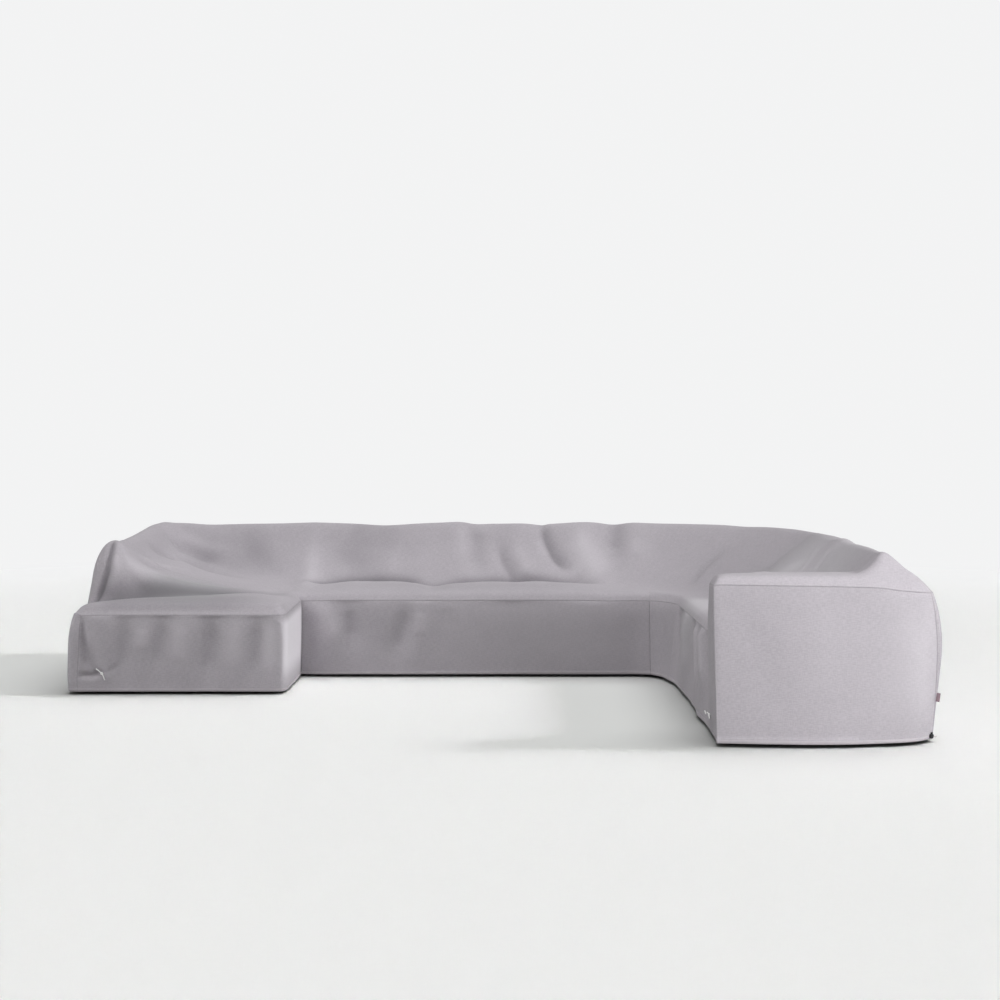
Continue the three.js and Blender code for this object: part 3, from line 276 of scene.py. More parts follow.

# Soft troughs and ridges of the hanging cloth, with tone as painted shade and light: places along the skirt
# and heights
SKIRT_FOLDS = {
    "chaise_skirt": table(
        FOLD_COLUMNS,
        ([(-2.098, 0.40), (-2.075, 0.32), (-2.050, 0.22), (-2.030, 0.14)], 0.023, 0.020, None, 0.1, 0.4),
        ([(-2.03, 0.33), (-2.0, 0.24), (-1.97, 0.16)], -0.008, 0.04),
        ([(-1.965, 0.097), (-2.0, 0.088), (-2.07, 0.092)], 0.019, 0.014, None, 0.1),
        ([(-1.965, 0.10), (-2.01, 0.13), (-2.05, 0.19)], 0.008, 0.016),
        ([(-1.94, 0.10), (-1.90, 0.118), (-1.86, 0.15)], 0.006, 0.015),
        ([(-1.835, 0.37), (-1.832, 0.28), (-1.845, 0.12)], 0.011, 0.035),
        ([(-1.740, 0.34), (-1.745, 0.22)], -0.008, 0.045, -0.15),
        ([(-1.640, 0.37), (-1.644, 0.28), (-1.66, 0.14)], 0.013, 0.034),
        ([(-1.535, 0.36), (-1.545, 0.15)], -0.009, 0.05, -0.17),
        ([(-1.370, 0.37), (-1.370, 0.27), (-1.39, 0.10)], 0.017, 0.036),
        ([(-1.245, 0.36), (-1.25, 0.12)], -0.008, 0.05, -0.18),
        ([(-1.122, 0.37), (-1.122, 0.28), (-1.14, 0.10)], 0.015, 0.03),
        ([(-1.03, 0.40), (-0.995, 0.37), (-0.984, 0.26), (-0.988, 0.09)], -0.006, 0.010, -0.1, 0.1),
        ([(-0.966, 0.40), (-0.966, 0.06)], 0.0, 0.022, -0.80, 0.05),
        ([(-1.045, 0.37), (-1.05, 0.24), (-1.05, 0.10)], -0.004, 0.05, -0.26),
    ),
    "main_skirt": table(
        FOLD_COLUMNS,
        ([(-0.93, 0.36), (-0.91, 0.24), (-0.90, 0.06)], 0.006, 0.045, 0.16, 0.1),
        ([(-0.880, 0.41), (-0.82, 0.30), (-0.755, 0.181)], -0.010, 0.05),
        ([(-0.700, 0.37), (-0.68, 0.30), (-0.67, 0.20)], 0.013, 0.04),
        ([(-0.350, 0.37), (-0.375, 0.26), (-0.42, 0.14)], 0.014, 0.045, 0.12),
        ([(-0.285, 0.36), (-0.28, 0.22)], -0.009, 0.04),
        ([(-0.13, 0.38), (-0.12, 0.26)], 0.005, 0.05, 0.0),
        ([(-0.75, 0.35), (-0.45, 0.20)], 0.0, 0.25, 0.11),
        ([(0.10, 0.28), (0.60, 0.25), (1.05, 0.22)], 0.0, 0.22, -0.13, 0.1),
    ),
    "corner_inner_skirt": table(
        FOLD_COLUMNS,
        ([(0.30, 0.42), (0.30, 0.04)], 0.0, 0.22, 0.13, 0.1),
    ),
    "wing_inner_skirt": table(
        FOLD_COLUMNS,
        ([(0.134, 0.41), (0.120, 0.30), (0.09, 0.18)], 0.014, 0.04),
        ([(-0.16, 0.40), (-0.20, 0.26), (-0.22, 0.12)], -0.010, 0.07),
        ([(-0.52, 0.42), (-0.58, 0.30), (-0.64, 0.10)], -0.013, 0.035, None, 0.1),
        ([(-0.42, 0.40), (-0.46, 0.26), (-0.48, 0.10)], 0.011, 0.05),
    ),
    "arm_inner_skirt": table(
        FOLD_COLUMNS,
        ([(-0.72, 0.42), (-0.82, 0.30), (-0.88, 0.18)], -0.013, 0.035),
        ([(-0.93, 0.46), (-0.97, 0.28), (-1.02, 0.12)], 0.014, 0.05),
    ),
    "end_panel": table(
        FOLD_COLUMNS,
        ([(1.217, 0.62), (1.324, 0.45), (1.42, 0.16)], 0.004, 0.06),
        ([(1.59, 0.60), (1.62, 0.36), (1.63, 0.16)], -0.004, 0.10),
        ([(1.95, 0.62), (2.0, 0.38), (1.97, 0.10)], -0.006, 0.07),
        ([(2.06, 0.55), (2.08, 0.30), (2.06, 0.06)], 0.0, 0.22, -0.16, 0.1),
    ),
}

# Weave, stitches and colours of the cloth, with the painted shade, highlight and light tint among them
WEAVE = {
    "thread": 0.0024, "lying": (0.022, 0.0036), "standing": (0.0036, 0.024), "mottle": (0.09, 0.07),
    "lying_share": 0.6, "mottle_share": 0.12, "contrast": 7.5, "check_height": 0.35, "slub_height": 1.3,
}
STITCH = {
    "seam": 0.0065, "hem": 0.0155, "thick": 0.0009, "long": 0.004, "dash": 0.72, "height": 1.2,
    "groove_shade": 0.004,
}
HEM_SHARE = 0.5
# Share of painted shade in the seam and hem grooves
GROOVE_SHADE_SHARE = 0.2
CLOTH_COLOUR = {
    "dark": (0.392, 0.367, 0.397),
    "light": (0.448, 0.421, 0.453),
    "hem": (0.50, 0.465, 0.49),
    "thread": (0.52, 0.49, 0.52),
    # painted light tint of the greyer patches
    "painted_light_tint": (0.405, 0.410, 0.415),
    # painted shade for the folds' troughs and the seam grooves
    "painted_shade": (0.130, 0.124, 0.136),
    # painted highlight for ridges and lit sides
    "painted_highlight": (0.78, 0.75, 0.79),
}
# Patches of painted light: a greyer tint where the cloth faces the neutral light from the left and back
# rather than the pinkish light from the right and front
PAINTED_TINT_PATCHES = table(
    "at reach share",
    ((1.72, -0.05, 0.68), 0.50, 0.25),
    ((1.80, -0.80, 0.72), 0.42, 0.25),
    ((1.26, -0.15, 0.45), 0.40, 0.28),
    ((-1.55, 0.18, 0.50), 0.34, 0.55),
)
PATCH_CORE = 0.3

# Backdrop, floor and lights
BACKDROP = (0.894, 0.897, 0.900)
SKY = 0.15
FLOOR = {"level": -0.016, "near": 4.2, "far": 9.5, "colour": (0.898, 0.912, 0.892), "bounce": 0.5}
LIGHTS = [
    {"name": "right_light", "kind": "SUN", "energy": 1.55, "way": (-0.86, -0.064, -0.5), "angle": 0.2},
    {"name": "ceiling_light", "kind": "SUN", "energy": 2.03, "way": (0.40, 0.36, -0.84), "angle": 0.9,
     "falls_on": "cover"},
    {"name": "ceiling_light_on_floor", "kind": "SUN", "energy": 1.77, "way": (-0.25, -0.15, -0.955),
     "angle": 1.0, "falls_on": "floor"},
    {"name": "front_right_light", "kind": "AREA", "energy": 90, "way": (-1.6, 2.9, -0.7),
     "place": (3.2, -4.2, 1.15), "shape": "RECTANGLE", "size": 1.4, "size_y": 0.9, "falls_on": "cover"},
]


# The smooth route through a few points, one open line
def smooth_route(points, per_span=8):
    points = [Vector(p) for p in points]
    before = points[0] * 2 - points[1]
    after = points[-1] * 2 - points[-2]
    ends = [before, *points, after]
    route = []
    for i in range(1, len(ends) - 2):
        a, b, c, d = ends[i - 1:i + 3]
        for step in range(per_span):
            t = step / per_span
            bend = (2 * a - 5 * b + 4 * c - d) * t * t + (3 * b - a - 3 * c + d) * t ** 3
            route.append(0.5 * (2 * b + (c - a) * t + bend))
    route.append(points[-1])
    return route


def seat_matrix(seat):
    across, up, out, at = (Vector(seat[key]) for key in ("across", "up", "out", "at"))
    return Matrix.Translation(at) @ Matrix((across, up, out)).transposed().to_4x4()


def linked(name, mesh):
    piece = bpy.data.objects.new(name, mesh)
    scene.collection.objects.link(piece)
    return piece


# Makes a piece ride on the cover in place of its solid
def stand_for(piece, node):
    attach(piece, "root")
    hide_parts(node)


def finished_mesh(name, bm, smooth=True):
    mesh = bpy.data.meshes.new(name)
    bm.to_mesh(mesh)
    bm.free()
    for polygon in mesh.polygons:
        polygon.use_smooth = smooth
    return mesh


# One property of all the points, corners or faces, as an array
def values_of(data, key, width=1, kind=float):
    values = np.empty(len(data) * width, kind)
    data.foreach_get(key, values)
    return values.reshape(-1, width) if width > 1 else values


def points_of(mesh):
    return values_of(mesh.vertices, "co", 3)


def move_points(mesh, co):
    mesh.vertices.foreach_set("co", co.ravel())
    mesh.update()


def nearest_tree(places):
    tree = kdtree.KDTree(len(places))
    for i, place in enumerate(places):
        tree.insert(place, i)
    tree.balance()
    return tree


# Rings round a route, each extruded from the one before it, with the faces put in the order of their points
def tube(bm, route, radii, sides, closed=False):
    count = len(route)
    if closed:
        ways = [(route[(i + 1) % count] - route[i - 1]).normalized() for i in range(count)]
    else:
        ways = [(route[min(i + 1, count - 1)] - route[max(i - 1, 0)]).normalized() for i in range(count)]
    side = ways[0].orthogonal().normalized()
    frames = []
    for way in ways:
        side = (side - way * side.dot(way)).normalized()
        frames.append((side.copy(), way.cross(side)))
    first = bmesh.ops.create_circle(bm, segments=sides, radius=1.0, cap_ends=False)["verts"]
    ring = list(first)
    for i, (place, radius) in enumerate(zip(route, radii)):
        if i:
            near = dict.fromkeys(e for v in ring for e in v.link_edges)
            edges = [e for e in near if all(v in ring for v in e.verts)]
            made = bmesh.ops.extrude_edge_only(bm, edges=edges)["geom"]
            fresh = {v for v in made if isinstance(v, bmesh.types.BMVert)}
            ring = [next(e.other_vert(v) for e in v.link_edges if e.other_vert(v) in fresh) for v in ring]
        across, up = frames[i]
        for n, v in enumerate(ring):
            turn = 2 * math.pi * n / sides
            v.co = place + (across * math.cos(turn) + up * math.sin(turn)) * radius(turn)
    if closed:
        ends = [e for r in (first, ring) for v in r for e in v.link_edges if all(w in r for w in e.verts)]
        bmesh.ops.bridge_loops(bm, edges=list(dict.fromkeys(ends)))
    else:
        bmesh.ops.holes_fill(bm, edges=[e for e in bm.edges if e.is_boundary], sides=0)
    bmesh.ops.recalc_face_normals(bm, faces=bm.faces)
    bm.verts.index_update()
    count = len(bm.verts)
    bm.faces.sort(key=lambda f: min(v.index for v in f.verts) * count + max(v.index for v in f.verts))


# A twisted cord: its strands stand out a little and turn along it, and its ends are sealed round
def cord_mesh(name, route, thick):
    lengths = [0.0]
    for a, b in zip(route, route[1:]):
        lengths.append(lengths[-1] + (b - a).length)
    rise = TWIST["rise"]

    def radius_at(i):
        end = min(lengths[i], lengths[-1] - lengths[i]) / (thick / 2)
        middle = thick / 2 * math.sqrt(max(TWIST["sealed_end"], 1 - max(0.0, 1 - end) ** 2))
        phase = 2 * math.pi * lengths[i] / (thick * TWIST["turn"])
        return lambda turn: middle * (1 - rise + rise * math.cos(TWIST["strands"] * turn - phase))

    bm = bmesh.new()
    tube(bm, route, [radius_at(i) for i in range(len(route))], TWIST["sides"])
    return finished_mesh(name, bm)


# The knot: a cord wound through itself, pressed flat towards the cloth
def knot_mesh(name, matrix):
    route = []
    for i in range(KNOT["steps"]):
        t = 2 * math.pi * i / KNOT["steps"]
        reach = KNOT["ring"] + KNOT["wave"] * math.cos(3 * t)
        out = KNOT["wave"] * KNOT["relief"] * math.sin(3 * t)
        route.append(Vector((reach * math.cos(2 * t), reach * math.sin(2 * t), out)))
    bm = bmesh.new()
    tube(bm, route, [lambda turn: KNOT["thick"]] * KNOT["steps"], KNOT["sides"], closed=True)
    bmesh.ops.transform(bm, matrix=matrix @ Matrix.Translation((0, 0, KNOT["up"])), verts=bm.verts)
    return finished_mesh(name, bm)


# A small label folded double, sewn into a seam by its open edge and bent a little
def make_label(material):
    half, wide, tall, bend = LABEL["thick"] / 2, LABEL["wide"], LABEL["tall"], LABEL["bend"]
    one_side = [(-half, 0.0), (-half, wide * 0.5), (-half, wide * 0.9), (-half * 0.7, wide * 0.98)]
    path = one_side + [(0.0, wide)] + [(-across, out) for across, out in reversed(one_side)]
    bm = bmesh.new()
    grid = bmesh.ops.create_grid(bm, x_segments=len(path) - 1, y_segments=LABEL["rows"] - 1, size=0.5)
    for v in grid["verts"]:
        i = round((v.co.x + 0.5) * (len(path) - 1))
        across, out = path[i]
        height = v.co.y * tall
        sway = bend * (out / wide) ** 2 * (0.6 + 0.4 * math.cos(3 * v.co.y))
        v.co = (across + sway, height, out - LABEL["sewn_in"])
    bmesh.ops.transform(bm, matrix=seat_matrix(SEATS["label"]), verts=bm.verts)
    bmesh.ops.recalc_face_normals(bm, faces=bm.faces)
    mesh = finished_mesh("label_tab", bm)
    mesh.materials.append(material)
    piece = linked("label_tab", mesh)
    thick = piece.modifiers.new("tape_thickness", "SOLIDIFY")
    thick.thickness = LABEL["tape"]
    thick.offset = 0
    stand_for(piece, "label")


# The lock's block and button, with their edges rounded
def make_lock(material):
    for node, name in (("lock_block", "lock_body"), ("lock_button", "lock_push_button")):
        bm = bmesh.new()
        bm.from_mesh(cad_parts[node].data)
        bmesh.ops.remove_doubles(bm, verts=bm.verts, dist=SAME_POINT)
        bmesh.ops.dissolve_limit(bm, angle_limit=LOCK["flat_angle"], verts=bm.verts, edges=bm.edges)
        sharp = [e for e in bm.edges if len(e.link_faces) == 2 and e.calc_face_angle() > LOCK["edge_angle"]]
        bmesh.ops.bevel(
            bm, geom=sharp, affect="EDGES", offset=LOCK["round"], segments=3, profile=0.5, material=-1,
            clamp_overlap=True,
        )
        mesh = finished_mesh(name, bm)
        mesh.materials.clear()
        mesh.materials.append(material)
        mesh.set_sharp_from_angle(angle=LOCK["shade_angle"])
        piece = linked(name, mesh)
        stand_for(piece, node)


def make_camera():
    data = bpy.data.cameras.new("front_view")
    data.sensor_width = 36
    data.lens = CAMERA["lens"]
    data.shift_x = CAMERA["shift_x"]
    data.shift_y = CAMERA["shift_y"]
    camera = linked("front_view", data)
    camera.location = CAMERA["place"]
    camera.rotation_euler = (math.radians(90), 0, 0)
    scene.camera = camera


def make_cords(materials):
    for row in CORDS:
        matrix = seat_matrix(SEATS[row["seat"]])
        route = [matrix @ p for p in smooth_route(row["route"])]
        piece = linked(row["name"], cord_mesh(row["name"], route, row["thick"]))
        slot = "draw_cord" if row["seat"] == "lock" else "tie"
        if "knot" in row:
            knot = linked(row["knot"], knot_mesh(row["knot"], matrix))
            knot.data.materials.append(materials["tie"])
            stand_for(knot, row["seat"] + "_knot")
        piece.data.materials.append(materials[slot])
        stand_for(piece, row["node"])


# The outer face of a panel's solid, as quads
def outer_face(row):
    bm = bmesh.new()
    bm.from_mesh(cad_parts[row["node"]].data)
    bmesh.ops.remove_doubles(bm, verts=bm.verts, dist=SAME_POINT)
    rim = [f for f in bm.faces if min(e.calc_length() for e in f.edges) < RIM_STEP]
    bmesh.ops.delete(bm, geom=rim, context="FACES_ONLY")
    bmesh.ops.delete(bm, geom=[e for e in bm.edges if not e.link_faces], context="EDGES")
    bm.faces.ensure_lookup_table()
    island = {bm.faces[0]}
    edge_of_island = [bm.faces[0]]
    while edge_of_island:
        face = edge_of_island.pop()
        for near in {f for e in face.edges for f in e.link_faces} - island:
            island.add(near)
            edge_of_island.append(near)
    way = Vector(row["faces"])
    outward = sum(f.normal.dot(way) * f.calc_area() for f in island) > 0
    inner = [f for f in bm.faces if (f in island) != outward]
    bmesh.ops.delete(bm, geom=inner, context="FACES")
    bmesh.ops.join_triangles(
        bm, faces=bm.faces, angle_face_threshold=math.pi, angle_shape_threshold=math.pi,
    )
    return bm


# All the outer faces, welded where they are sewn together, with each face's material number its panel's
def sewn_shell():
    shell = bmesh.new()
    for number, row in enumerate(PANELS):
        face = outer_face(row)
        for f in face.faces:
            f.material_index = number
        part = bpy.data.meshes.new("part")
        face.to_mesh(part)
        face.free()
        shell.from_mesh(part)
        bpy.data.meshes.remove(part)
    bmesh.ops.remove_doubles(shell, verts=shell.verts, dist=SEAM_WELD)
    crease = shell.edges.layers.float.new("crease_edge")
    for e in shell.edges:
        if len({f.material_index for f in e.link_faces}) > 1:
            e[crease] = SEAM_CREASE
            e.seam = True
    return finished_mesh("sewn_shell", shell)


# Lays the panels flat for the weave: metres on the cloth, with V up or back along each panel
def lay_flat(piece):
    bpy.ops.object.select_all(action="DESELECT")
    bpy.context.view_layer.objects.active = piece
    piece.select_set(True)
    bpy.ops.object.mode_set(mode="EDIT")
    bpy.ops.mesh.select_all(action="SELECT")
    bpy.ops.uv.unwrap(method="ANGLE_BASED", margin=0.001)
    bpy.ops.object.mode_set(mode="OBJECT")
    mesh = piece.data
    flat = values_of(mesh.uv_layers.active.data, "uv", 2)
    flat = flat[:, 0] + 1j * flat[:, 1]
    places = points_of(mesh)[values_of(mesh.loops, "vertex_index", kind=np.int32)]
    for number, row in enumerate(PANELS):
        faces = [p for p in mesh.polygons if p.material_index == number]
        loops = [i for p in faces for i in p.loop_indices]
        x, y, z = places[loops].T
        if row["piece"] in TOPS:
            target = x + 1j * y
        else:
            way = Vector(row["faces"]).normalized()
            target = (y * way.x - x * way.y) + 1j * z
        w = flat[loops] - flat[loops].mean()
        fit = np.vdot(w, target - target.mean())
        turned = w * fit / abs(fit)
        flat_area = 0.0
        at = 0
        for p in faces:
            c = turned[at:at + p.loop_total]
            flat_area += abs((np.conj(c) * np.roll(c, -1)).imag.sum()) / 2
            at += p.loop_total
        flat[loops] = turned * math.sqrt(sum(p.area for p in faces) / flat_area) + number * PANEL_SHIFT
    mesh.uv_layers.active.data.foreach_set("uv", np.stack((flat.real, flat.imag), axis=1).ravel())


# The shell with its faces divided and rounded, drawn so that it still passes through its own points
def smoothed(piece):
    smoothing = piece.modifiers.new("smoothing", "SUBSURF")
    smoothing.levels = SMOOTHING
    smoothing.render_levels = SMOOTHING
    smoothing.boundary_smooth = "PRESERVE_CORNERS"
    wanted = points_of(piece.data)
    control = wanted.copy()
    for _ in range(FIT_ROUNDS):
        bpy.context.view_layer.update()
        made = piece.evaluated_get(bpy.context.evaluated_depsgraph_get()).data
        control += wanted - points_of(made)[:len(wanted)]
        move_points(piece.data, control)
    bpy.context.view_layer.update()
    made = bpy.data.meshes.new_from_object(piece.evaluated_get(bpy.context.evaluated_depsgraph_get()))
    piece.modifiers.clear()
    piece.data = made


def soft_step(value, start, end):
    t = np.clip((value - start) / (end - start), 0, 1)
    return t * t * (3 - 2 * t)


# Depth and tone of soft folds at flat places, tone above 0 being painted shade and below 0 painted light:
# each fold runs along a line and fades at its ends
def folded(flat, rows):
    depth = np.zeros(len(flat))
    tone = np.zeros(len(flat))
    for row in rows:
        line = np.array(row["line"])
        steps = np.linalg.norm(np.diff(line, axis=0), axis=1)
        before = np.concatenate(([0], np.cumsum(steps)))
        nearest = np.full(len(flat), np.inf)
        side = np.zeros(len(flat))
        along = np.zeros(len(flat))
        for i, (a, b) in enumerate(zip(line, line[1:])):
            way = (b - a) / steps[i]
            run = np.clip((flat - a) @ way, 0, steps[i])
            off = flat - a - run[:, None] * way
            gap = np.hypot(*off.T)
            closer = gap < nearest
            nearest = np.where(closer, gap, nearest)
            side = np.where(closer, np.sign(way[0] * off[:, 1] - way[1] * off[:, 0]), side)
            along = np.where(closer, (before[i] + run) / before[-1], along)
        wide = row["wide"] * (1 + row.get("lean", 0) * side)
        fade = soft_step(along, FOLD_START, row.get("end", FOLD_END))
        fade *= soft_step(1 - along, FOLD_START, FOLD_END)
        near = fade * np.exp(-(nearest / wide) ** 2)
        depth += row["deep"] * near
        # The tone is painted shade above 0 and painted light below 0
        shade = row.get("tone")
        if shade is None:
            shade = row["deep"] * FOLD_PAINTED_SHADE
        tone += shade * near
    return depth, tone


# Presses the folds and the seams' puckers into the smoothed shell, and keeps the folds' painted shade and
# light on its points
def shape_cloth(mesh):
    co = points_of(mesh)
    numbers = values_of(mesh.polygons, "material_index", kind=np.int32)
    totals = values_of(mesh.polygons, "loop_total", kind=np.int32)
    corners = values_of(mesh.loops, "vertex_index", kind=np.int32)
    belongs = np.zeros((len(PANELS), len(co)), bool)
    belongs[np.repeat(numbers, totals), corners] = True
    tops = np.array([row["piece"] in TOPS for row in PANELS])
    on_top = belongs[tops].any(axis=0)
    on_skirt = belongs[~tops].any(axis=0)
    tree = nearest_tree(co[on_top & on_skirt])
    gap = np.array([tree.find(p)[2] for p in co])
    fade = soft_step(gap, 0, FOLD_FADE)
    depth, tone = (np.where(on_top, part, 0.0) * fade for part in folded(co[:, :2], TOP_FOLDS))
    for number, row in enumerate(PANELS):
        if row["piece"] not in SKIRT_FOLDS:
            continue
        way = Vector(row["faces"]).to_2d().normalized()
        run = co[:, 0] if abs(way.y) > abs(way.x) else co[:, 1]
        own = belongs[number] & (belongs.sum(axis=0) == 1)
        own_depth, own_painted_shade = folded(np.stack((run, co[:, 2]), axis=1), SKIRT_FOLDS[row["piece"]])
        depth += np.where(own, own_depth, 0.0) * fade
        tone += np.where(own, own_painted_shade, 0.0) * fade
    for pull in PULLS:
        off = np.linalg.norm(co - pull["at"], axis=1) / pull["reach"]
        co = co + np.exp(-off ** 2)[:, None] * np.array(pull["move"])
    run = co[:, 0] - co[:, 1]
    drift = PUCKER["drift"] * np.sin(run * PUCKER["drift_turns"])
    wave = np.sin(2 * math.pi * (run / PUCKER["every"] + drift))
    uneven = PUCKER["mean"] + PUCKER["swing"] * np.sin(run * PUCKER["swing_turns"] + 1)
    pucker = PUCKER["deep"] * wave * uneven * np.exp(-gap / PUCKER["reach"])
    depth += pucker * soft_step(gap, 0, PUCKER["start"])
    move_points(mesh, co - depth[:, None] * values_of(mesh.vertices, "normal", 3))
    one, other = (belongs[number] for number, row in enumerate(PANELS) if row["piece"] in SOFT_SEAM)
    for name, values in (("soft_seam", (one & other).astype(float)), ("painted_fold_shading", tone)):
        mesh.attributes.new(name, "FLOAT", "POINT").data.foreach_set("value", values)


# One panel of the shell: its edges turned in, and how far each of its points lies from a seam and the hem
def cut_panel(shell, number, row):
    bm = bmesh.new()
    bm.from_mesh(shell)
    gap = bm.verts.layers.float.new("seam_gap")
    run = bm.verts.layers.float.new("seam_run")
    rise = bm.verts.layers.float.new("hem_rise")
    soft = bm.verts.layers.float["soft_seam"]
    others = [f for f in bm.faces if f.material_index != number]
    bmesh.ops.delete(bm, geom=others, context="FACES")
    for f in bm.faces:
        f.material_index = 0
    is_top = row["piece"] in TOPS
    if not is_top:
        for height in (HEM["tall"], HEM["tall"] + HEM["step"]):
            bmesh.ops.bisect_plane(
                bm, geom=[*bm.verts, *bm.edges, *bm.faces], dist=HEM["cut"],
                plane_co=(0, 0, height), plane_no=(0, 0, 1),
            )
    bmesh.ops.inset_region(
        bm, faces=bm.faces, use_boundary=True, use_even_offset=True, thickness=TURNED_EDGE,
    )
    bm.normal_update()
    border = {v for e in bm.edges if e.is_boundary for v in e.verts}
    hem = {v for v in border if v.co.z < HEM["foot"]} if not is_top else set()
    seam = [e for e in bm.edges if e.is_boundary and not all(v in hem for v in e.verts)]
    tree, runs, softness = seam_points(seam, soft)
    moves = {}
    for v in bm.verts:
        place, index, distance = tree.find(v.co)
        v[gap] = min(distance + SEAM_REACH * softness[index], SEAM_REACH)
        v[run] = runs[index]
        v[rise] = 1.0 if is_top else v.co.z
        out = 0.0
        if is_top:
            out = LAP["rise"] * min(1.0, max(0.0, (LAP["wide"] + LAP["fade"] - distance) / LAP["fade"]))
            out *= 1 - softness[index]
        elif v.co.z < HEM["tall"] + HEM["slack"]:
            out = HEM["out"]
        if v in border:
            out -= SEAM_SINK * (1 - SOFT_SEAM_FILL * v[soft])
        moves[v] = v.normal * out
    for v, move in moves.items():
        v.co += move
    return finished_mesh(row["piece"], bm)


# Points a small step apart along the seams, with how far along its seam each lies and how soft it is there
def seam_points(edges, soft):
    left = set(edges)
    places = []
    runs = []
    softness = []
    while left:
        edge = min(left, key=lambda e: e.index)
        left.discard(edge)
        ends = [v for v in edge.verts if sum(e in left for e in v.link_edges) == 0]
        v = ends[0] if ends else edge.verts[0]
        along = 0.0
        while edge:
            other = edge.other_vert(v)
            long = (other.co - v.co).length
            steps = max(1, round(long / SEAM_STEP))
            for i in range(steps):
                places.append(v.co.lerp(other.co, i / steps))
                runs.append(along + long * i / steps)
                softness.append(min(v[soft], other[soft]))
            along += long
            v = other
            edge = next((e for e in v.link_edges if e in left), None)
            left.discard(edge)
    return nearest_tree(places), runs, softness


def make_cloth(material):
    shell = linked("sewn_shell", sewn_shell())
    lay_flat(shell)
    smoothed(shell)
    shape_cloth(shell.data)
    for number, row in enumerate(PANELS):
        mesh = cut_panel(shell.data, number, row)
        mesh.materials.clear()
        mesh.materials.append(material)
        piece = linked(row["piece"], mesh)
        thick = piece.modifiers.new("cloth_thickness", "SOLIDIFY")
        thick.thickness = CLOTH_THICK
        thick.offset = -1
        thick.use_even_offset = False
        stand_for(piece, row["node"])
    bpy.data.objects.remove(shell)


# One shader node, with its settings and the values or links of its inputs
def add_node(tree, kind, inputs=None, **settings):
    node = tree.nodes.new("ShaderNode" + kind)
    for key, value in settings.items():
        setattr(node, key, value)
    for key, value in (inputs or {}).items():
        if isinstance(value, bpy.types.NodeSocket):
            tree.links.new(value, node.inputs[key])
        else:
            node.inputs[key].default_value = value
    return node


def maths(tree, operation, a, b=0.0, c=0.0):
    return add_node(tree, "Math", {0: a, 1: b, 2: c}, operation=operation).outputs[0]


# Turns the range of a value from start to end into the range from low to high
def ranged(tree, value, start, end, low, high, **settings):
    sizes = {0: value, 1: start, 2: end, 3: low, 4: high}
    return add_node(tree, "MapRange", sizes, **settings).outputs[0]


def new_group(name, outputs, inputs=()):
    tree = bpy.data.node_groups.new(name, "ShaderNodeTree")
    for way, sockets in (("INPUT", inputs), ("OUTPUT", outputs)):
        for socket in sockets:
            tree.interface.new_socket(name=socket, in_out=way, socket_type="NodeSocketFloat")
    return tree, tree.nodes.new("NodeGroupOutput")


def use_group(tree, group, **values):
    node = tree.nodes.new("ShaderNodeGroup")
    node.node_tree = group
    for name, value in values.items():
        node.inputs[name].default_value = value
    return node


# A plain weave with uneven threads: its relief and its light and dark threads, in metres on the cloth
def weave_group():
    tree, out = new_group("uneven_weave", ("Relief", "Shade"))
    flat = add_node(tree, "SeparateXYZ", {0: add_node(tree, "UVMap").outputs[0]}).outputs
    thread = WEAVE["thread"]

    def streaks(sizes):
        across, along = (maths(tree, "DIVIDE", part, size) for part, size in zip(flat, sizes))
        place = add_node(tree, "CombineXYZ", {0: across, 1: along}).outputs[0]
        return add_node(tree, "TexNoise", {"Vector": place, "Scale": 1.0, "Detail": 2.0}).outputs[0]

    def blended(first, second, share):
        return maths(tree, "MULTIPLY_ADD", first, 1 - share, maths(tree, "MULTIPLY", second, share))

    warp = maths(tree, "SINE", maths(tree, "MULTIPLY", flat[0], 2 * math.pi / thread))
    weft = maths(tree, "SINE", maths(tree, "MULTIPLY", flat[1], 2 * math.pi / thread))
    checks = maths(tree, "MULTIPLY_ADD", maths(tree, "MULTIPLY", warp, weft), 0.5, 0.5)
    slubs = blended(streaks(WEAVE["standing"]), streaks(WEAVE["lying"]), WEAVE["lying_share"])
    mixed = blended(slubs, streaks(WEAVE["mottle"]), WEAVE["mottle_share"])
    shade = maths(tree, "MULTIPLY_ADD", maths(tree, "SUBTRACT", mixed, 0.5), WEAVE["contrast"], 0.5)
    raised = maths(tree, "MULTIPLY", slubs, WEAVE["slub_height"])
    relief = maths(tree, "MULTIPLY_ADD", checks, WEAVE["check_height"], raised)
    tree.links.new(relief, out.inputs["Relief"])
    tree.links.new(shade, out.inputs["Shade"])
    return tree


# Rows of stitches beside the seams and over the hem, and painted shade in the grooves at the seams and the
# hem's edge
def stitch_group():
    tree, out = new_group("stitch_rows", ("Thread", "GrooveShade"))
    names = ("seam_gap", "seam_run", "hem_rise")
    gap, run, rise = (add_node(tree, "Attribute", attribute_name=n).outputs["Fac"] for n in names)
    at = add_node(tree, "SeparateXYZ", {0: add_node(tree, "UVMap").outputs[0]}).outputs[0]
    rows = []
    for distance, where, along in ((gap, STITCH["seam"], run), (rise, STITCH["hem"], at)):
        off = maths(tree, "ABSOLUTE", maths(tree, "SUBTRACT", distance, where))
        line = maths(tree, "LESS_THAN", off, STITCH["thick"] / 2)
        part = maths(tree, "FRACT", maths(tree, "DIVIDE", along, STITCH["long"]))
        rows.append(maths(tree, "MULTIPLY", line, maths(tree, "LESS_THAN", part, STITCH["dash"])))
    tree.links.new(maths(tree, "MAXIMUM", *rows), out.inputs["Thread"])
    groove_shades = []
    # Masks for painted shade in the seam grooves and at the hem's edge
    for off in (gap, maths(tree, "ABSOLUTE", maths(tree, "SUBTRACT", rise, HEM["tall"]))):
        groove_shades.append(ranged(tree, off, start=0.0, end=STITCH["groove_shade"], low=1.0, high=0.0))
    tree.links.new(maths(tree, "MAXIMUM", *groove_shades), out.inputs["GrooveShade"])
    return tree
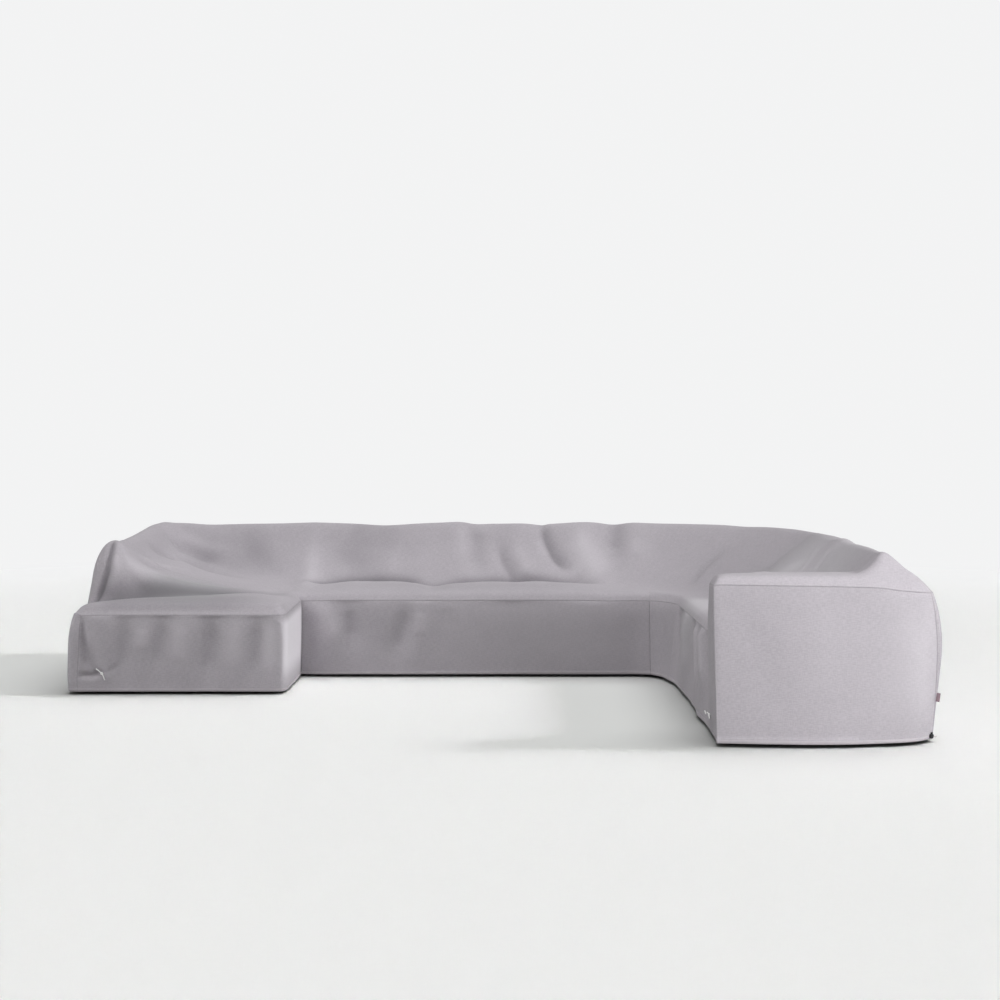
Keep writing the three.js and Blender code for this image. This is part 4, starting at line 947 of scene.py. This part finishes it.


# Where a greyer tint of painted light goes on the cloth, as masks round a few places
def painted_tint_group():
    tree, out = new_group("painted_light_tint_patches", ("Mask",))
    place = add_node(tree, "TexCoord").outputs["Object"]
    mask = 0.0
    for row in PAINTED_TINT_PATCHES:
        off = add_node(tree, "VectorMath", {0: place, 1: row["at"]}, operation="DISTANCE").outputs["Value"]
        near = ranged(
            tree, off, start=row["reach"], end=row["reach"] * PATCH_CORE, low=0.0, high=row["share"],
            interpolation_type="SMOOTHSTEP",
        )
        mask = maths(tree, "MAXIMUM", near, mask)
    tree.links.new(mask, out.inputs["Mask"])
    return tree


# A mix of two colours, each a colour's three numbers or the output of another node
def mixed_colour(tree, factor, dark, light):
    node = add_node(tree, "Mix", data_type="RGBA")
    tree.links.new(factor, node.inputs["Factor"])
    for socket, colour in (("A", dark), ("B", light)):
        target = next(i for i in node.inputs if i.name == socket and i.type == "RGBA")
        if isinstance(colour, bpy.types.NodeSocket):
            tree.links.new(colour, target)
        else:
            target.default_value = (*colour, 1)
    return next(o for o in node.outputs if o.type == "RGBA")


def new_material(name):
    material = bpy.data.materials.new(name)
    material.use_nodes = True
    tree = material.node_tree
    return material, tree, tree.nodes["Principled BSDF"]


def finish_surface(tree, shader, colour, height, strength, distance):
    tree.links.new(colour, shader.inputs["Base Color"])
    bump = add_node(tree, "Bump", {"Height": height, "Strength": strength, "Distance": distance})
    tree.links.new(bump.outputs[0], shader.inputs["Normal"])


# Fine specks at their real size, which the cords, the lock and the label share
def speck_group():
    tree, out = new_group("fine_specks", ("Specks",), inputs=("Scale", "Detail"))
    given = tree.nodes.new("NodeGroupInput").outputs
    place = add_node(tree, "TexCoord").outputs["Object"]
    sizes = {"Vector": place, "Scale": given["Scale"], "Detail": given["Detail"]}
    tree.links.new(add_node(tree, "TexNoise", sizes).outputs[0], out.inputs["Specks"])
    return tree


# Cord yarn: fine plies round the cord, a little lighter and darker
def cord_material(name, specks, light, dark):
    material, tree, shader = new_material(name)
    plies = use_group(tree, specks, Scale=900.0, Detail=3.0).outputs["Specks"]
    shader.inputs["Roughness"].default_value = 0.85
    colour = mixed_colour(tree, plies, dark, light)
    finish_surface(tree, shader, colour, plies, strength=0.5, distance=0.0003)
    return material


# Moulded black plastic with a fine grain
def plastic_material(specks):
    material, tree, shader = new_material("black_plastic")
    grain = use_group(tree, specks, Scale=2500.0, Detail=2.0).outputs["Specks"]
    colour = mixed_colour(tree, grain, (0.008, 0.008, 0.009), (0.018, 0.018, 0.020))
    rough = ranged(tree, grain, start=0.0, end=1.0, low=0.30, high=0.48)
    tree.links.new(rough, shader.inputs["Roughness"])
    finish_surface(tree, shader, colour, grain, strength=0.3, distance=0.0001)
    return material


# The label's fine ribbed tape
def label_material(specks):
    material, tree, shader = new_material("label_tape")
    height = add_node(tree, "SeparateXYZ", {0: add_node(tree, "TexCoord").outputs["Object"]}).outputs[2]
    wave = maths(tree, "SINE", maths(tree, "MULTIPLY", height, LABEL["rib_turns"]))
    ribs = maths(tree, "MULTIPLY_ADD", wave, 0.5, 0.5)
    worn = use_group(tree, specks, Scale=400.0, Detail=2.0).outputs["Specks"]
    tone = maths(tree, "MULTIPLY_ADD", ribs, 0.4, maths(tree, "MULTIPLY", worn, 0.6))
    colour = mixed_colour(tree, tone, (0.215, 0.145, 0.170), (0.315, 0.225, 0.255))
    shader.inputs["Roughness"].default_value = 0.8
    finish_surface(tree, shader, colour, ribs, strength=0.4, distance=0.0002)
    return material


# The woven cloth, with painted shade in its folds and seam grooves, painted light on ridges and lit sides,
# a greyer painted light tint in patches, and a pale hem and thread
def cloth_material():
    material, tree, shader = new_material("woven_cloth")
    weave = use_group(tree, weave_group())
    stitches = use_group(tree, stitch_group())
    colour = mixed_colour(tree, weave.outputs["Shade"], CLOTH_COLOUR["dark"], CLOTH_COLOUR["light"])
    # A greyer tint of painted light in patches
    tint_patches = use_group(tree, painted_tint_group())
    colour = mixed_colour(tree, tint_patches.outputs["Mask"], colour, CLOTH_COLOUR["painted_light_tint"])
    # Painted shade in the folds' troughs and painted light on their ridges and lit sides, from the fold
    # tone
    tone = add_node(tree, "Attribute", attribute_name="painted_fold_shading").outputs["Fac"]
    colour = mixed_colour(tree, maths(tree, "MAXIMUM", tone, 0.0), colour, CLOTH_COLOUR["painted_shade"])
    painted_light = maths(tree, "MAXIMUM", maths(tree, "MULTIPLY", tone, -1.0), 0.0)
    colour = mixed_colour(tree, painted_light, colour, CLOTH_COLOUR["painted_highlight"])
    rise = add_node(tree, "Attribute", attribute_name="hem_rise").outputs["Fac"]
    hem = maths(tree, "MULTIPLY", maths(tree, "LESS_THAN", rise, HEM["tall"]), HEM_SHARE)
    colour = mixed_colour(tree, hem, colour, CLOTH_COLOUR["hem"])
    colour = mixed_colour(tree, stitches.outputs["Thread"], colour, CLOTH_COLOUR["thread"])
    # Painted shade in the seam and hem grooves
    groove_shade = maths(tree, "MULTIPLY", stitches.outputs["GrooveShade"], GROOVE_SHADE_SHARE)
    colour = mixed_colour(tree, groove_shade, colour, CLOTH_COLOUR["painted_shade"])
    shader.inputs["Roughness"].default_value = 0.9
    shader.inputs["Specular IOR Level"].default_value = 0.25
    shader.inputs["Sheen Weight"].default_value = 0.12
    shader.inputs["Sheen Roughness"].default_value = 0.45
    thread = stitches.outputs["Thread"]
    height = maths(tree, "MULTIPLY_ADD", thread, STITCH["height"], weave.outputs["Relief"])
    finish_surface(tree, shader, colour, height, strength=0.6, distance=0.0005)
    return material


def add_light(name, kind, energy, way, place=(0, 0, 3), **settings):
    data = bpy.data.lights.new(name, kind)
    data.energy = energy
    for key, value in settings.items():
        setattr(data, key, value)
    light = linked(name, data)
    light.location = place
    light.rotation_euler = Vector(way).to_track_quat("-Z", "Y").to_euler()
    light.visible_camera = False
    return light


# A set that holds the floor, either as all that a light falls on or as what it is screened from
def floor_set(floor, state):
    made = bpy.data.collections.new("floor_" + state.lower())
    made.objects.link(floor)
    made.collection_objects[0].light_linking.link_state = state
    return made


def make_lights(floor):
    sets = {"cover": floor_set(floor, "EXCLUDE"), "floor": floor_set(floor, "INCLUDE")}
    for row in LIGHTS:
        settings = dict(row)
        falls_on = settings.pop("falls_on", None)
        light = add_light(**settings)
        if falls_on:
            light.light_linking.receiver_collection = sets[falls_on]


# The camera sees the backdrop, while the cover is lit by a plain soft sky
def make_world():
    world = bpy.data.worlds.new("studio")
    scene.world = world
    world.use_nodes = True
    tree = world.node_tree
    seen = tree.nodes["Background"]
    seen.inputs["Color"].default_value = (*BACKDROP, 1)
    soft = add_node(tree, "Background", {"Color": (1, 1, 1, 1), "Strength": SKY})
    camera_ray = add_node(tree, "LightPath").outputs["Is Camera Ray"]
    both = add_node(tree, "MixShader", {0: camera_ray, 1: soft.outputs[0], 2: seen.outputs[0]})
    tree.links.new(both.outputs[0], tree.nodes["World Output"].inputs["Surface"])


# A pale floor that fades into the backdrop far out, so that no horizon shows
def make_floor():
    bm = bmesh.new()
    bmesh.ops.create_grid(bm, x_segments=4, y_segments=4, size=FLOOR["far"] + 1)
    bmesh.ops.translate(bm, vec=(0, 0, FLOOR["level"]), verts=bm.verts)
    floor = linked("floor", finished_mesh("floor", bm, smooth=False))
    material, tree, shader = new_material("pale_floor")
    seen = add_node(tree, "LightPath").outputs["Is Camera Ray"]
    dull = [c * FLOOR["bounce"] for c in FLOOR["colour"]]
    tree.links.new(mixed_colour(tree, seen, dull, FLOOR["colour"]), shader.inputs["Base Color"])
    shader.inputs["Roughness"].default_value = 0.9
    shader.inputs["Specular IOR Level"].default_value = 0.0
    place = add_node(tree, "TexCoord").outputs["Object"]
    out = add_node(tree, "VectorMath", {0: place}, operation="LENGTH").outputs["Value"]
    fade = ranged(
        tree, out, start=FLOOR["near"], end=FLOOR["far"], low=0.0, high=1.0,
        interpolation_type="SMOOTHSTEP",
    )
    far = add_node(tree, "Emission", {"Color": (*BACKDROP, 1), "Strength": seen})
    both = add_node(tree, "MixShader", {0: fade, 1: shader.outputs[0], 2: far.outputs[0]})
    tree.links.new(both.outputs[0], tree.nodes["Material Output"].inputs["Surface"])
    floor.data.materials.append(material)
    return floor


make_camera()
fine_specks = speck_group()
materials = {
    "cloth": cloth_material(),
    "tie": cord_material("white_cord", fine_specks, light=(0.97, 0.97, 0.96), dark=(0.80, 0.80, 0.79)),
    "draw_cord": cord_material("grey_cord", fine_specks, light=(0.72, 0.70, 0.67), dark=(0.5, 0.48, 0.45)),
    "lock": plastic_material(fine_specks),
    "label": label_material(fine_specks),
}
make_cords(materials)
make_cloth(materials["cloth"])
make_lock(materials["lock"])
make_label(materials["label"])
make_lights(make_floor())
make_world()
scene.view_settings.view_transform = "Standard"
